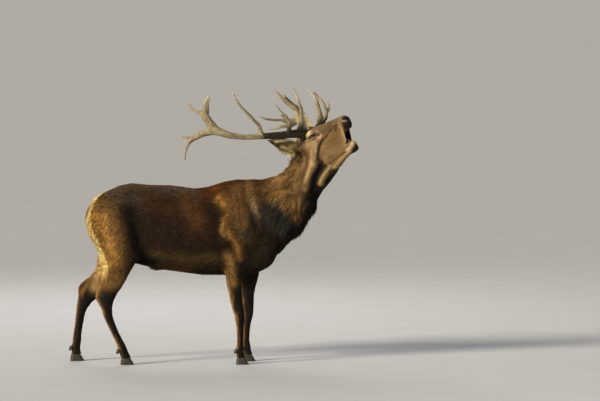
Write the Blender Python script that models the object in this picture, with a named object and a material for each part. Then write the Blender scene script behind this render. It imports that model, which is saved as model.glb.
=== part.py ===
"""Red deer stag, roaring, life size.

Metres, Z up.  The stag stands along +X with its right side towards -Y.  Every flesh mass is a loft through
named sections, the masses are fused into one body, and the body is then parted by thin cuts.
"""

import math

import bmesh
import bpy
import numpy as np
from mathutils import Vector

# ---------------------------------------------------------------- driving sizes (metres)
FLESH_VOXEL = 0.0055        # grid on which the flesh masses are fused
ANTLER_VOXEL = 0.0032       # grid on which the antler tubes are fused
FLESH_TRIANGLES = 4000      # faces kept for the whole of the flesh
ANTLER_TRIANGLES = 760      # faces kept for one antler
FILLET_PASSES = 16          # how far the hollows between masses are filled
PART_GAP = 0.0004           # air between neighbouring solids
HEAD_CARE = 0.70            # 1 = thin the head as much as the trunk
HEAD_CARE_REACH = 0.26      # how far from the middle of the face that holds
LEG_CARE = 0.80
LEG_CARE_TOP = 0.56         # below this height
EAR_TRIANGLES = 180
EYE_RADIUS = 0.0195
CRUMB = 2e-7                # bodies below this volume (m3) are left out

X_AXIS = Vector((1, 0, 0))
Y_AXIS = Vector((0, 1, 0))
Z_AXIS = Vector((0, 0, 1))

# the head's own frame: origin midway between the antler burrs
HEAD_AT = Vector((0.800, -0.040, 1.5666))
HEAD_FORE = Vector((0.806, -0.469, 0.359)).normalized()
HEAD_LEFT = Vector((0.459, 0.880, 0.120)).normalized()
HEAD_UP = HEAD_FORE.cross(HEAD_LEFT).normalized()
HEAD_LEFT = HEAD_UP.cross(HEAD_FORE).normalized()
HEAD_AXES = (HEAD_FORE, HEAD_LEFT, HEAD_UP)


def head(fore, left, up):
    """A point of the head's frame in the stag's frame."""
    return HEAD_AT + HEAD_FORE * fore + HEAD_LEFT * left + HEAD_UP * up


for old in list(bpy.data.objects):
    bpy.data.objects.remove(old, do_unlink=True)


# ---------------------------------------------------------------- lofts
def section(a, b, half, widest=0.0, up=1.0, low=1.0, side=Y_AXIS):
    """One cross-section: it spans a-b and is 2*half across; `widest` is where, from -1 at b to 1 at a."""
    return [*a, *b, half, widest, up, low, *side]


def between(rows, steps):
    """Rows with smooth (Catmull-Rom) ones put in between."""
    rows = np.array(rows, float)
    ends = np.vstack([2 * rows[0] - rows[1], rows, 2 * rows[-1] - rows[-2]])
    out = []
    for i in range(1, len(ends) - 2):
        p0, p1, p2, p3 = ends[i - 1:i + 3]
        for k in range(steps):
            t = k / steps
            bend = (2 * p0 - 5 * p1 + 4 * p2 - p3) * t * t + (3 * p1 - p0 - 3 * p2 + p3) * t ** 3
            out.append(0.5 * (2 * p1 + (p2 - p0) * t + bend))
    out.append(ends[-2])
    return np.array(out)


def loft(rows, steps=4, around=28):
    """Closed skin through sections, as (points, faces)."""
    rows = between(rows, steps)
    turn = np.arange(around) * 2 * math.pi / around
    along, across = np.cos(turn), np.sin(turn)
    points, faces = [], []
    for row in rows:
        a, b, half, widest, up, low = row[0:3], row[3:6], row[6], row[7], row[8], row[9]
        side = row[10:13] / np.linalg.norm(row[10:13])
        reach = np.where(along > 0, widest + along * (1 - widest), widest + along * (1 + widest))
        power = np.where(along > 0, up, low)
        out = max(half, 0.0005) * np.sign(across) * np.abs(across) ** power
        middle, span = (a + b) / 2, (a - b) / 2
        points.append(middle + reach[:, None] * span + out[:, None] * side)
    count = len(rows)
    for r in range(count - 1):
        for k in range(around):
            n = (k + 1) % around
            faces.append((r * around + k, r * around + n, (r + 1) * around + n, (r + 1) * around + k))
    points = np.concatenate(points)
    first, last = len(points), len(points) + 1
    points = np.vstack([points, points[:around].mean(0), points[-around:].mean(0)])
    for k in range(around):
        n = (k + 1) % around
        faces.append((first, n, k))
        faces.append((last, (count - 1) * around + k, (count - 1) * around + n))
    return points, faces


def ball(centre, radii, axes=None, fineness=3):
    """Ellipsoid mass, as (points, faces)."""
    bm = bmesh.new()
    bmesh.ops.create_icosphere(bm, subdivisions=fineness, radius=1.0)
    axes = axes or (X_AXIS, Y_AXIS, Z_AXIS)
    points = np.array([Vector(centre) + axes[0] * v.co.x * radii[0] + axes[1] * v.co.y * radii[1]
                       + axes[2] * v.co.z * radii[2] for v in bm.verts])
    faces = [tuple(v.index for v in f.verts) for f in bm.faces]
    bm.free()
    return points, faces


def tube(path, steps=4, around=14, flat=1.0, broad=None):
    """Round tube through (x, y, z, radius) rows; `flat` thins it across the direction `broad`."""
    rows = between(path, steps)
    points, faces = [], []
    thin = None
    for i, row in enumerate(rows):
        ahead = rows[min(i + 1, len(rows) - 1)][:3] - rows[max(i - 1, 0)][:3]
        ahead = Vector(ahead).normalized()
        if thin is None:
            seed = Vector(broad) if broad else Y_AXIS
            thin = (seed - ahead * seed.dot(ahead)).normalized()
        thin = (thin - ahead * thin.dot(ahead)).normalized()
        wide = ahead.cross(thin)
        radius = max(row[3], 0.0006)
        for k in range(around):
            t = 2 * math.pi * k / around
            points.append(Vector(row[:3]) + thin * math.cos(t) * radius * flat + wide * math.sin(t) * radius)
    count = len(rows)
    for r in range(count - 1):
        for k in range(around):
            n = (k + 1) % around
            faces.append((r * around + k, r * around + n, (r + 1) * around + n, (r + 1) * around + k))
    points.append(Vector(rows[0][:3]))
    points.append(Vector(rows[-1][:3]))
    first, last = len(points) - 2, len(points) - 1
    for k in range(around):
        n = (k + 1) % around
        faces.append((first, n, k))
        faces.append((last, (count - 1) * around + k, (count - 1) * around + n))
    return np.array(points), faces


def mesh_of(name, pieces):
    """One object holding all the (points, faces) pieces, normals outwards."""
    points, faces, base = [], [], 0
    for p, f in pieces:
        points.append(np.array(p))
        faces.extend(tuple(i + base for i in face) for face in f)
        base += len(p)
    mesh = bpy.data.meshes.new(name)
    mesh.from_pydata(np.concatenate(points).tolist(), [], faces)
    ob = bpy.data.objects.new(name, mesh)
    bpy.context.scene.collection.objects.link(ob)
    bm = bmesh.new()
    bm.from_mesh(mesh)
    bmesh.ops.recalc_face_normals(bm, faces=bm.faces)
    bm.to_mesh(mesh)
    bm.free()
    return ob


def settle(ob):
    """Replaces the object's mesh by what its modifiers make of it."""
    made = bpy.data.meshes.new_from_object(ob.evaluated_get(bpy.context.evaluated_depsgraph_get()))
    ob.modifiers.clear()
    ob.data = made


def fuse(ob, voxel):
    modifier = ob.modifiers.new("fuse", "REMESH")
    modifier.mode = "VOXEL"
    modifier.voxel_size = voxel
    settle(ob)


def carve(ob, cutter, keep_cutter=False):
    """Takes the cutter out of the object."""
    cutter.hide_render = True
    cutter.display_type = "WIRE"
    modifier = ob.modifiers.new("carve", "BOOLEAN")
    modifier.operation = "DIFFERENCE"
    modifier.solver = "EXACT"
    modifier.use_self = False
    modifier.object = cutter
    settle(ob)
    if not keep_cutter:
        bpy.data.objects.remove(cutter, do_unlink=True)


def relax(ob, passes, fill_only=True):
    """Evens the surface; with fill_only it raises hollows and leaves the crowns of the masses almost alone."""
    mesh = ob.data
    co = np.empty(len(mesh.vertices) * 3)
    mesh.vertices.foreach_get("co", co)
    co = co.reshape(-1, 3)
    edges = np.empty(len(mesh.edges) * 2, np.int64)
    mesh.edges.foreach_get("vertices", edges)
    edges = edges.reshape(-1, 2)
    count = len(co)
    degree = np.maximum(np.bincount(edges.ravel(), minlength=count), 1)
    normal = np.empty(count * 3)
    for step in range(passes):
        if step % 4 == 0:
            mesh.vertices.foreach_set("co", co.ravel())
            mesh.update()
            mesh.vertices.foreach_get("normal", normal)
        around = np.zeros_like(co)
        for axis in range(3):
            around[:, axis] = np.bincount(edges[:, 0], co[edges[:, 1], axis], count)
            around[:, axis] += np.bincount(edges[:, 1], co[edges[:, 0], axis], count)
        pull = around / degree[:, None] - co
        rise = (pull * normal.reshape(-1, 3)).sum(1)
        weight = np.where(rise > 0, 0.6, 0.12 if fill_only else 0.5)
        co = co + pull * weight[:, None]
    mesh.vertices.foreach_set("co", co.ravel())
    mesh.update()


def thin_out(ob, triangles, care=None):
    """Keeps about that many triangles; `care(point)` below 1 keeps more of them there."""
    ob.modifiers.new("whole", "TRIANGULATE")
    settle(ob)
    modifier = ob.modifiers.new("thin", "DECIMATE")
    modifier.ratio = min(1.0, triangles / max(1, len(ob.data.polygons)))
    if care:
        group = ob.vertex_groups.new(name="care")
        for v in ob.data.vertices:
            group.add([v.index], care(v.co), "REPLACE")
        modifier.vertex_group = "care"
        modifier.vertex_group_factor = 1.0
    settle(ob)
    ob.vertex_groups.clear()


def slab(centre, normal, half_u, half_v, up=Z_AXIS):
    """Thin box that parts a solid: PART_GAP thick, across `normal`."""
    normal = Vector(normal).normalized()
    across = Vector(up).cross(normal).normalized()
    other = normal.cross(across)
    bm = bmesh.new()
    bmesh.ops.create_cube(bm, size=2.0)
    spans = across * half_u, other * half_v, normal * (PART_GAP / 2)
    points = [Vector(centre) + spans[0] * v.co.x + spans[1] * v.co.y + spans[2] * v.co.z for v in bm.verts]
    faces = [tuple(v.index for v in f.verts) for f in bm.faces]
    bm.free()
    return np.array(points), faces


def loose_parts(ob):
    """The separate bodies of an object, as (points, faces)."""
    bm = bmesh.new()
    bm.from_mesh(ob.data)
    bmesh.ops.remove_doubles(bm, verts=bm.verts, dist=0.00002)
    bm.verts.ensure_lookup_table()
    bm.verts.index_update()
    seen, parts = set(), []
    for start in bm.verts:
        if start.index in seen:
            continue
        stack, group = [start], []
        seen.add(start.index)
        while stack:
            v = stack.pop()
            group.append(v)
            for e in v.link_edges:
                w = e.other_vert(v)
                if w.index not in seen:
                    seen.add(w.index)
                    stack.append(w)
        order = {v.index: i for i, v in enumerate(group)}
        faces = {f for v in group for f in v.link_faces}
        faces = sorted(faces, key=lambda f: f.index)
        if len(faces) > 3:
            parts.append((np.array([v.co[:] for v in group]),
                          [tuple(order[v.index] for v in f.verts) for f in faces]))
    bm.free()
    return parts


def volume(part):
    points, faces = part
    total = 0.0
    for face in faces:
        for k in range(1, len(face) - 1):
            a, b, c = points[face[0]], points[face[k]], points[face[k + 1]]
            total += np.dot(a, np.cross(b, c)) / 6
    return total


def distribute(ob, places):
    """Names each body of a parted solid after the place that lies nearest to its surface."""
    parts = [part for part in loose_parts(ob) if abs(volume(part)) > CRUMB]
    bpy.data.objects.remove(ob, do_unlink=True)
    named, free = {}, dict(places)
    pairs = []
    for i, (points, _) in enumerate(parts):
        for name, place in places.items():
            pairs.append((np.linalg.norm(points - np.array(place), axis=1).min(), name, i))
    used = set()
    for distance, name, i in sorted(pairs):
        if name in free and i not in used:
            named[name] = mesh_of(name, [parts[i]])
            used.add(i)
            del free[name]
    if free or len(used) < len(parts):
        raise ValueError(f"{len(parts)} bodies for {len(places)} names; without a body: {sorted(free)}")
    return named


# ---------------------------------------------------------------- the masses of the body
def spine_row(x, top, bottom, half, widest, up=0.9, low=0.9, y=0.0):
    """Trunk section at x: `widest` is the height of the broadest level."""
    level = (2 * widest - top - bottom) / (top - bottom)
    return section((x, y, top), (x, y, bottom), half, level, up, low)


TRUNK = [
    spine_row(-0.700, 1.020, 0.935, 0.040, 0.975),
    spine_row(-0.676, 1.084, 0.885, 0.085, 0.985),
    spine_row(-0.642, 1.129, 0.835, 0.120, 0.985),
    spine_row(-0.600, 1.162, 0.795, 0.146, 0.985),
    spine_row(-0.544, 1.188, 0.755, 0.168, 0.985, 1.0),
    spine_row(-0.476, 1.216, 0.715, 0.190, 0.975, 1.0),
    spine_row(-0.388, 1.231, 0.684, 0.204, 0.955, 1.0),
    spine_row(-0.272, 1.221, 0.656, 0.214, 0.925, 1.0),
    spine_row(-0.136, 1.219, 0.633, 0.226, 0.905, 1.0),
    spine_row(0.000, 1.201, 0.615, 0.232, 0.900, 1.0),
    spine_row(0.060, 1.198, 0.606, 0.232, 0.900, 1.0),
    spine_row(0.136, 1.212, 0.603, 0.230, 0.900, 1.05),
    spine_row(0.238, 1.245, 0.602, 0.222, 0.895, 1.15),
    spine_row(0.340, 1.261, 0.603, 0.208, 0.890, 1.2),
    spine_row(0.442, 1.250, 0.613, 0.186, 0.885, 1.1),
    spine_row(0.510, 1.230, 0.634, 0.160, 0.885),
    spine_row(0.566, 1.190, 0.678, 0.130, 0.890),
    spine_row(0.608, 1.130, 0.752, 0.095, 0.920),
    spine_row(0.640, 1.060, 0.830, 0.045, 0.950),
]

NECK = [
    section((0.290, 0, 1.230), (0.500, 0, 0.670), 0.170, 0.05, 1.1, 0.9),
    section((0.390, 0, 1.256), (0.602, 0, 0.744), 0.165, 0.05, 1.1, 0.9),
    section((0.470, 0, 1.261), (0.702, 0, 0.845), 0.158, 0.05, 1.1, 0.9),
    section((0.545, 0, 1.277), (0.772, 0, 0.927), 0.148, 0.05, 1.1, 0.9),
    section((0.605, 0, 1.300), (0.824, -0.006, 1.014), 0.136, 0.05, 1.05, 0.9),
    section((0.656, 0, 1.334), (0.864, -0.014, 1.088), 0.122, 0.05, 1.0, 0.95, (-0.08, 1, 0)),
    section((0.692, 0, 1.375), (0.892, -0.028, 1.152), 0.109, 0.05, 1.0, 0.95, (-0.18, 1, 0)),
    section((0.718, 0, 1.420), (0.917, -0.048, 1.196), 0.096, 0.05, 1.0, 1.0, (-0.3, 1, 0)),
    section((0.742, 0, 1.468), (0.944, -0.072, 1.226), 0.080, 0.10, 1.0, 1.1, (-0.42, 1, 0)),
    section((0.775, -0.005, 1.510), (0.968, -0.088, 1.262), 0.064, 0.15, 1.0, 1.1, (-0.5, 1, 0)),
]


def head_row(fore, top, bottom, half, widest, up=0.8, low=0.8, left=0.0):
    level = (2 * widest - top - bottom) / (top - bottom)
    return section(head(fore, left, top), head(fore, left, bottom), half, level, up, low, HEAD_LEFT)


def slanted_row(top, bottom, half, power):
    """Head section whose top lies further forward than its bottom; each is (fore, up)."""
    return section(head(top[0], 0, top[1]), head(bottom[0], 0, bottom[1]), half, 0.0, power, power, HEAD_LEFT)


SKULL = [
    head_row(-0.118, -0.035, -0.150, 0.036, -0.090),
    head_row(-0.085, -0.004, -0.205, 0.058, -0.100),
    head_row(-0.040, 0.014, -0.222, 0.070, -0.090, 0.9),
    head_row(0.010, 0.024, -0.228, 0.075, -0.085, 0.95),
    head_row(0.060, 0.028, -0.232, 0.072, -0.075, 0.95, 0.8),
    head_row(0.110, 0.026, -0.234, 0.0600, -0.080, 0.9, 0.75),
    head_row(0.160, 0.024, -0.235, 0.0520, -0.090, 0.85, 0.7),
    head_row(0.210, 0.024, -0.235, 0.0475, -0.100, 0.8, 0.7),
    slanted_row((0.256, 0.024), (0.244, -0.234), 0.0460, 0.75),
    slanted_row((0.290, 0.015), (0.262, -0.226), 0.0435, 0.75),
    slanted_row((0.306, 0.000), (0.270, -0.214), 0.0390, 0.75),
    slanted_row((0.314, -0.020), (0.274, -0.200), 0.0300, 0.80),
]
MUZZLE = [
    head_row(0.180, 0.022, -0.080, 0.0420, -0.030),
    head_row(0.230, 0.024, -0.080, 0.0455, -0.030, 0.8, 0.8),
    head_row(0.275, 0.0245, -0.078, 0.0465, -0.032, 0.75, 0.75),
    head_row(0.306, 0.0235, -0.080, 0.0440, -0.030, 0.75, 0.75),
    head_row(0.323, 0.016, -0.080, 0.0385, -0.030, 0.75, 0.75),
    head_row(0.334, 0.003, -0.074, 0.0300, -0.030, 0.8, 0.8),
    head_row(0.339, -0.010, -0.060, 0.0160, -0.032),
]
CHIN = [
    head_row(0.200, -0.150, -0.236, 0.0390, -0.190, 0.7, 0.8),
    head_row(0.245, -0.156, -0.241, 0.0385, -0.190, 0.7, 0.8),
    head_row(0.280, -0.159, -0.242, 0.0370, -0.190, 0.75, 0.8),
    head_row(0.303, -0.161, -0.238, 0.0325, -0.195, 0.8, 0.8),
    head_row(0.316, -0.172, -0.228, 0.0220, -0.198),
    head_row(0.320, -0.188, -0.214, 0.0090, -0.200),
]
THROAT = [
    head_row(0.250, -0.165, -0.245, 0.0300, -0.195, 0.8, 1.1),
    head_row(0.215, -0.150, -0.256, 0.0340, -0.190, 0.8, 1.2),
    head_row(0.168, -0.130, -0.282, 0.0400, -0.190, 0.8, 1.3),
    head_row(0.115, -0.110, -0.314, 0.0460, -0.195, 0.8, 1.35),
    head_row(0.060, -0.100, -0.346, 0.0520, -0.205, 0.8, 1.35),
    head_row(0.010, -0.100, -0.372, 0.0580, -0.220, 0.8, 1.3),
    head_row(-0.040, -0.100, -0.388, 0.0660, -0.240, 0.8, 1.2),
    head_row(-0.080, -0.120, -0.390, 0.0640, -0.250, 0.8, 1.1),
]
MOUTH = [                    # the open mouth, cut out of the head
    head_row(0.120, -0.100, -0.130, 0.0120, -0.115),
    head_row(0.145, -0.088, -0.146, 0.0260, -0.115),
    head_row(0.200, -0.081, -0.153, 0.0320, -0.115, 0.8, 0.8),
    head_row(0.260, -0.078, -0.157, 0.0350, -0.115, 0.8, 0.8),
    head_row(0.300, -0.080, -0.158, 0.0365, -0.115, 0.8, 0.8),
    head_row(0.370, -0.086, -0.160, 0.0400, -0.115, 0.8, 0.8),
]
TAIL = [
    section((-0.585, 0, 1.168), (-0.600, 0, 1.110), 0.034),
    section((-0.632, 0, 1.146), (-0.612, 0, 1.092), 0.034),
    section((-0.672, 0, 1.105), (-0.640, 0, 1.066), 0.034),
    section((-0.700, 0, 1.062), (-0.662, 0, 1.034), 0.032),
    section((-0.716, 0, 1.010), (-0.678, 0, 0.998), 0.027),
    section((-0.718, 0, 0.965), (-0.690, 0, 0.962), 0.017),
    section((-0.712, 0, 0.935), (-0.700, 0, 0.935), 0.006),
]


def limb(y, rows):
    """Leg loft: rows of (rear x, rear z, front x, front z, half width[, y])."""
    out = []
    for row in rows:
        rear_x, rear_z, front_x, front_z, half = row[:5]
        at = row[5] if len(row) > 5 else y
        out.append(section((front_x, at, front_z), (rear_x, at, rear_z), half, 0.0, 0.95, 0.95))
    return out


HIND_RIGHT = limb(-0.125, [
    (-0.660, 1.080, -0.420, 1.150, 0.070, -0.090),
    (-0.703, 1.000, -0.345, 1.030, 0.098, -0.106),
    (-0.707, 0.945, -0.325, 0.930, 0.103, -0.112),
    (-0.692, 0.890, -0.325, 0.850, 0.098, -0.120),
    (-0.652, 0.825, -0.335, 0.770, 0.086, -0.127),
    (-0.616, 0.765, -0.352, 0.700, 0.072, -0.132),
    (-0.604, 0.712, -0.380, 0.650, 0.062, -0.134),
    (-0.602, 0.660, -0.405, 0.615, 0.055, -0.132),
    (-0.606, 0.598, -0.432, 0.570, 0.046, -0.128),
    (-0.621, 0.545, -0.459, 0.523, 0.039),
    (-0.640, 0.492, -0.488, 0.480, 0.034),
    (-0.643, 0.452, -0.508, 0.440, 0.0325),
    (-0.624, 0.418, -0.519, 0.408, 0.031),
    (-0.602, 0.378, -0.5235, 0.372, 0.029),
    (-0.589, 0.330, -0.519, 0.330, 0.026),
    (-0.564, 0.272, -0.501, 0.277, 0.023),
    (-0.530, 0.200, -0.471, 0.208, 0.0215),
    (-0.501, 0.140, -0.440, 0.149, 0.023),
    (-0.490, 0.104, -0.424, 0.112, 0.0275),
    (-0.481, 0.076, -0.409, 0.080, 0.024),
    (-0.470, 0.036, -0.388, 0.036, 0.027),
    (-0.468, 0.020, -0.384, 0.020, 0.026),
])
HIND_LEFT = limb(0.125, [
    (-0.660, 1.080, -0.420, 1.150, 0.070, 0.090),
    (-0.700, 1.000, -0.350, 1.030, 0.098, 0.106),
    (-0.704, 0.945, -0.340, 0.930, 0.103, 0.112),
    (-0.690, 0.890, -0.350, 0.850, 0.098, 0.120),
    (-0.660, 0.825, -0.370, 0.770, 0.086, 0.127),
    (-0.638, 0.765, -0.395, 0.700, 0.072, 0.131),
    (-0.640, 0.702, -0.435, 0.642, 0.062, 0.132),
    (-0.655, 0.640, -0.480, 0.590, 0.054, 0.131),
    (-0.685, 0.590, -0.525, 0.540, 0.046, 0.129),
    (-0.725, 0.557, -0.566, 0.497, 0.039),
    (-0.762, 0.524, -0.612, 0.450, 0.034),
    (-0.774, 0.492, -0.647, 0.420, 0.0325),
    (-0.772, 0.452, -0.676, 0.394, 0.031),
    (-0.779, 0.402, -0.698, 0.366, 0.029),
    (-0.786, 0.347, -0.714, 0.333, 0.026),
    (-0.793, 0.282, -0.727, 0.280, 0.023),
    (-0.803, 0.205, -0.740, 0.205, 0.0215),
    (-0.813, 0.138, -0.746, 0.140, 0.023),
    (-0.819, 0.104, -0.750, 0.106, 0.0275),
    (-0.819, 0.074, -0.752, 0.075, 0.024),
    (-0.822, 0.036, -0.738, 0.036, 0.027),
    (-0.822, 0.020, -0.735, 0.020, 0.026),
])
FORE_RIGHT = limb(-0.105, [
    (0.285, 1.120, 0.400, 1.130, 0.050, -0.105),
    (0.232, 1.020, 0.452, 1.030, 0.078, -0.122),
    (0.225, 0.930, 0.490, 0.930, 0.090, -0.128),
    (0.222, 0.850, 0.488, 0.850, 0.090, -0.128),
    (0.218, 0.780, 0.450, 0.770, 0.080, -0.126),
    (0.221, 0.712, 0.400, 0.692, 0.064, -0.124),
    (0.231, 0.650, 0.370, 0.630, 0.053, -0.120),
    (0.242, 0.580, 0.354, 0.570, 0.045, -0.115),
    (0.257, 0.507, 0.357, 0.505, 0.038, -0.110),
    (0.269, 0.440, 0.361, 0.440, 0.0335),
    (0.286, 0.375, 0.370, 0.375, 0.0315),
    (0.299, 0.336, 0.376, 0.336, 0.0335),
    (0.305, 0.300, 0.375, 0.300, 0.033),
    (0.3125, 0.260, 0.3695, 0.260, 0.0255),
    (0.3155, 0.200, 0.3675, 0.200, 0.0215),
    (0.3155, 0.145, 0.3680, 0.145, 0.0220),
    (0.311, 0.108, 0.368, 0.108, 0.027),
    (0.313, 0.076, 0.372, 0.078, 0.0240),
    (0.316, 0.036, 0.388, 0.036, 0.0265),
    (0.316, 0.020, 0.391, 0.020, 0.0260),
])
FORE_LEFT = limb(0.105, [
    (0.300, 1.120, 0.420, 1.130, 0.050, 0.105),
    (0.250, 1.020, 0.480, 1.030, 0.078, 0.122),
    (0.245, 0.930, 0.515, 0.930, 0.090, 0.128),
    (0.250, 0.850, 0.515, 0.850, 0.090, 0.128),
    (0.258, 0.780, 0.500, 0.770, 0.080, 0.126),
    (0.275, 0.712, 0.488, 0.692, 0.064, 0.124),
    (0.300, 0.645, 0.479, 0.620, 0.053, 0.120),
    (0.325, 0.570, 0.463, 0.560, 0.045, 0.115),
    (0.334, 0.505, 0.4455, 0.500, 0.038, 0.110),
    (0.341, 0.440, 0.437, 0.440, 0.0335),
    (0.348, 0.375, 0.434, 0.375, 0.0315),
    (0.355, 0.332, 0.432, 0.332, 0.0335),
    (0.3575, 0.296, 0.426, 0.296, 0.033),
    (0.3565, 0.255, 0.4145, 0.255, 0.0255),
    (0.3555, 0.195, 0.4080, 0.195, 0.0215),
    (0.3535, 0.142, 0.4065, 0.142, 0.0220),
    (0.356, 0.106, 0.413, 0.106, 0.027),
    (0.358, 0.074, 0.417, 0.076, 0.0240),
    (0.361, 0.036, 0.433, 0.036, 0.0265),
    (0.361, 0.020, 0.436, 0.020, 0.0260),
])


EAR_LEVELS = (0.0, 0.15, 0.32, 0.50, 0.70, 0.85, 0.95, 1.0)      # along the ear
EAR_WIDTHS = (0.55, 0.84, 1.00, 0.93, 0.66, 0.37, 0.15, 0.03)    # of its broadest half width


def ear_leaf(root, tip, mouth, length, width):
    """Cupped leaf: root and tip in the stag's frame, `mouth` is the way its hollow faces."""
    axis = (tip - root).normalized()
    mouth = (mouth - axis * mouth.dot(axis)).normalized()
    across = axis.cross(mouth)
    steps, around = 16, 12
    points, faces = [], []
    for shell in (0, 1):
        for i in range(steps + 1):
            t = i / steps
            half = width * float(np.interp(t, EAR_LEVELS, EAR_WIDTHS))
            curl = 1.35 * (1 - t) ** 0.6 + 0.45
            thick = 0.0105 * (1 - 0.45 * t)
            for k in range(around + 1):
                v = 2 * k / around - 1
                turn = v * curl
                radius = half / math.sin(min(curl, math.pi / 2))
                edge = max(0.3, (1 - v * v) ** 0.5)
                inset = shell * thick * edge * (0.35 + 0.65 * math.sin(math.pi * min(t, 0.999)) ** 0.3)
                off = radius * (1 - math.cos(turn)) + inset
                place = root + axis * (t * length) + across * (radius * math.sin(turn))
                points.append(place + mouth * (off - 0.25 * half))
    row = around + 1
    shell_size = (steps + 1) * row
    for shell in (0, 1):
        for i in range(steps):
            for k in range(around):
                a = shell * shell_size + i * row + k
                quad = (a, a + 1, a + row + 1, a + row)
                faces.append(quad if shell == 0 else quad[::-1])
    for i in range(steps):
        for k in (0, around):
            a = i * row + k
            quad = (a, a + row, a + row + shell_size, a + shell_size)
            faces.append(quad if k == 0 else quad[::-1])
    for k in range(around):
        for i in (0, steps):
            a = i * row + k
            quad = (a, a + 1, a + 1 + shell_size, a + shell_size)
            faces.append(quad[::-1] if i == 0 else quad)
    return np.array(points), faces


EAR_RIGHT_ROOT = head(-0.062, -0.070, -0.068)
EAR_RIGHT_TIP = Vector((0.530, -0.125, 1.5255))
EAR_LEFT_ROOT = head(-0.060, 0.084, -0.037)
EAR_LEFT_TIP = head(-0.085, 0.215, 0.146)

SIDES = (("right", -1), ("left", 1))


def flesh_pieces():
    pieces = [loft(TRUNK, 4, 40), loft(NECK, 4, 40), loft(SKULL), loft(MUZZLE), loft(CHIN), loft(THROAT)]
    pieces += [loft(leg, 4, 28) for leg in (HIND_RIGHT, HIND_LEFT, FORE_RIGHT, FORE_LEFT)]
    for _, s in SIDES:
        pieces.append(ball(head(0.052, s * 0.056, -0.012), (0.042, 0.028, 0.030), HEAD_AXES))   # brow
        pieces.append(ball(head(0.040, s * 0.050, -0.120), (0.060, 0.026, 0.080), HEAD_AXES))   # cheek muscle
        pieces.append(ball(head(-0.004, s * 0.040, 0.006), (0.030, 0.028, 0.032), HEAD_AXES))   # pedicle
        pieces.append(ball((-0.410, s * 0.140, 0.900), (0.120, 0.075, 0.170)))             # thigh
        pieces.append(ball((-0.440, s * 0.108, 1.105), (0.110, 0.058, 0.085)))             # hip
        pieces.append(ball((0.340, s * 0.092, 1.070), (0.110, 0.062, 0.150)))              # shoulder blade
    pieces.append(ball((-0.215, 0, 0.654), (0.060, 0.028, 0.027)))                         # sheath
    pieces.append(ball(head(-0.058, -0.062, -0.072), (0.030, 0.026, 0.030)))               # roots of the ears
    pieces.append(ball(head(-0.055, 0.066, -0.055), (0.028, 0.026, 0.030)))
    return pieces


EARS = {
    "ear_right": (EAR_RIGHT_ROOT, EAR_RIGHT_TIP, Vector((0.15, -0.95, -0.20)), 0.228, 0.049),
    "ear_left": (EAR_LEFT_ROOT, EAR_LEFT_TIP, Vector((0.30, -0.92, 0.20)), 0.228, 0.047),
}


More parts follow.
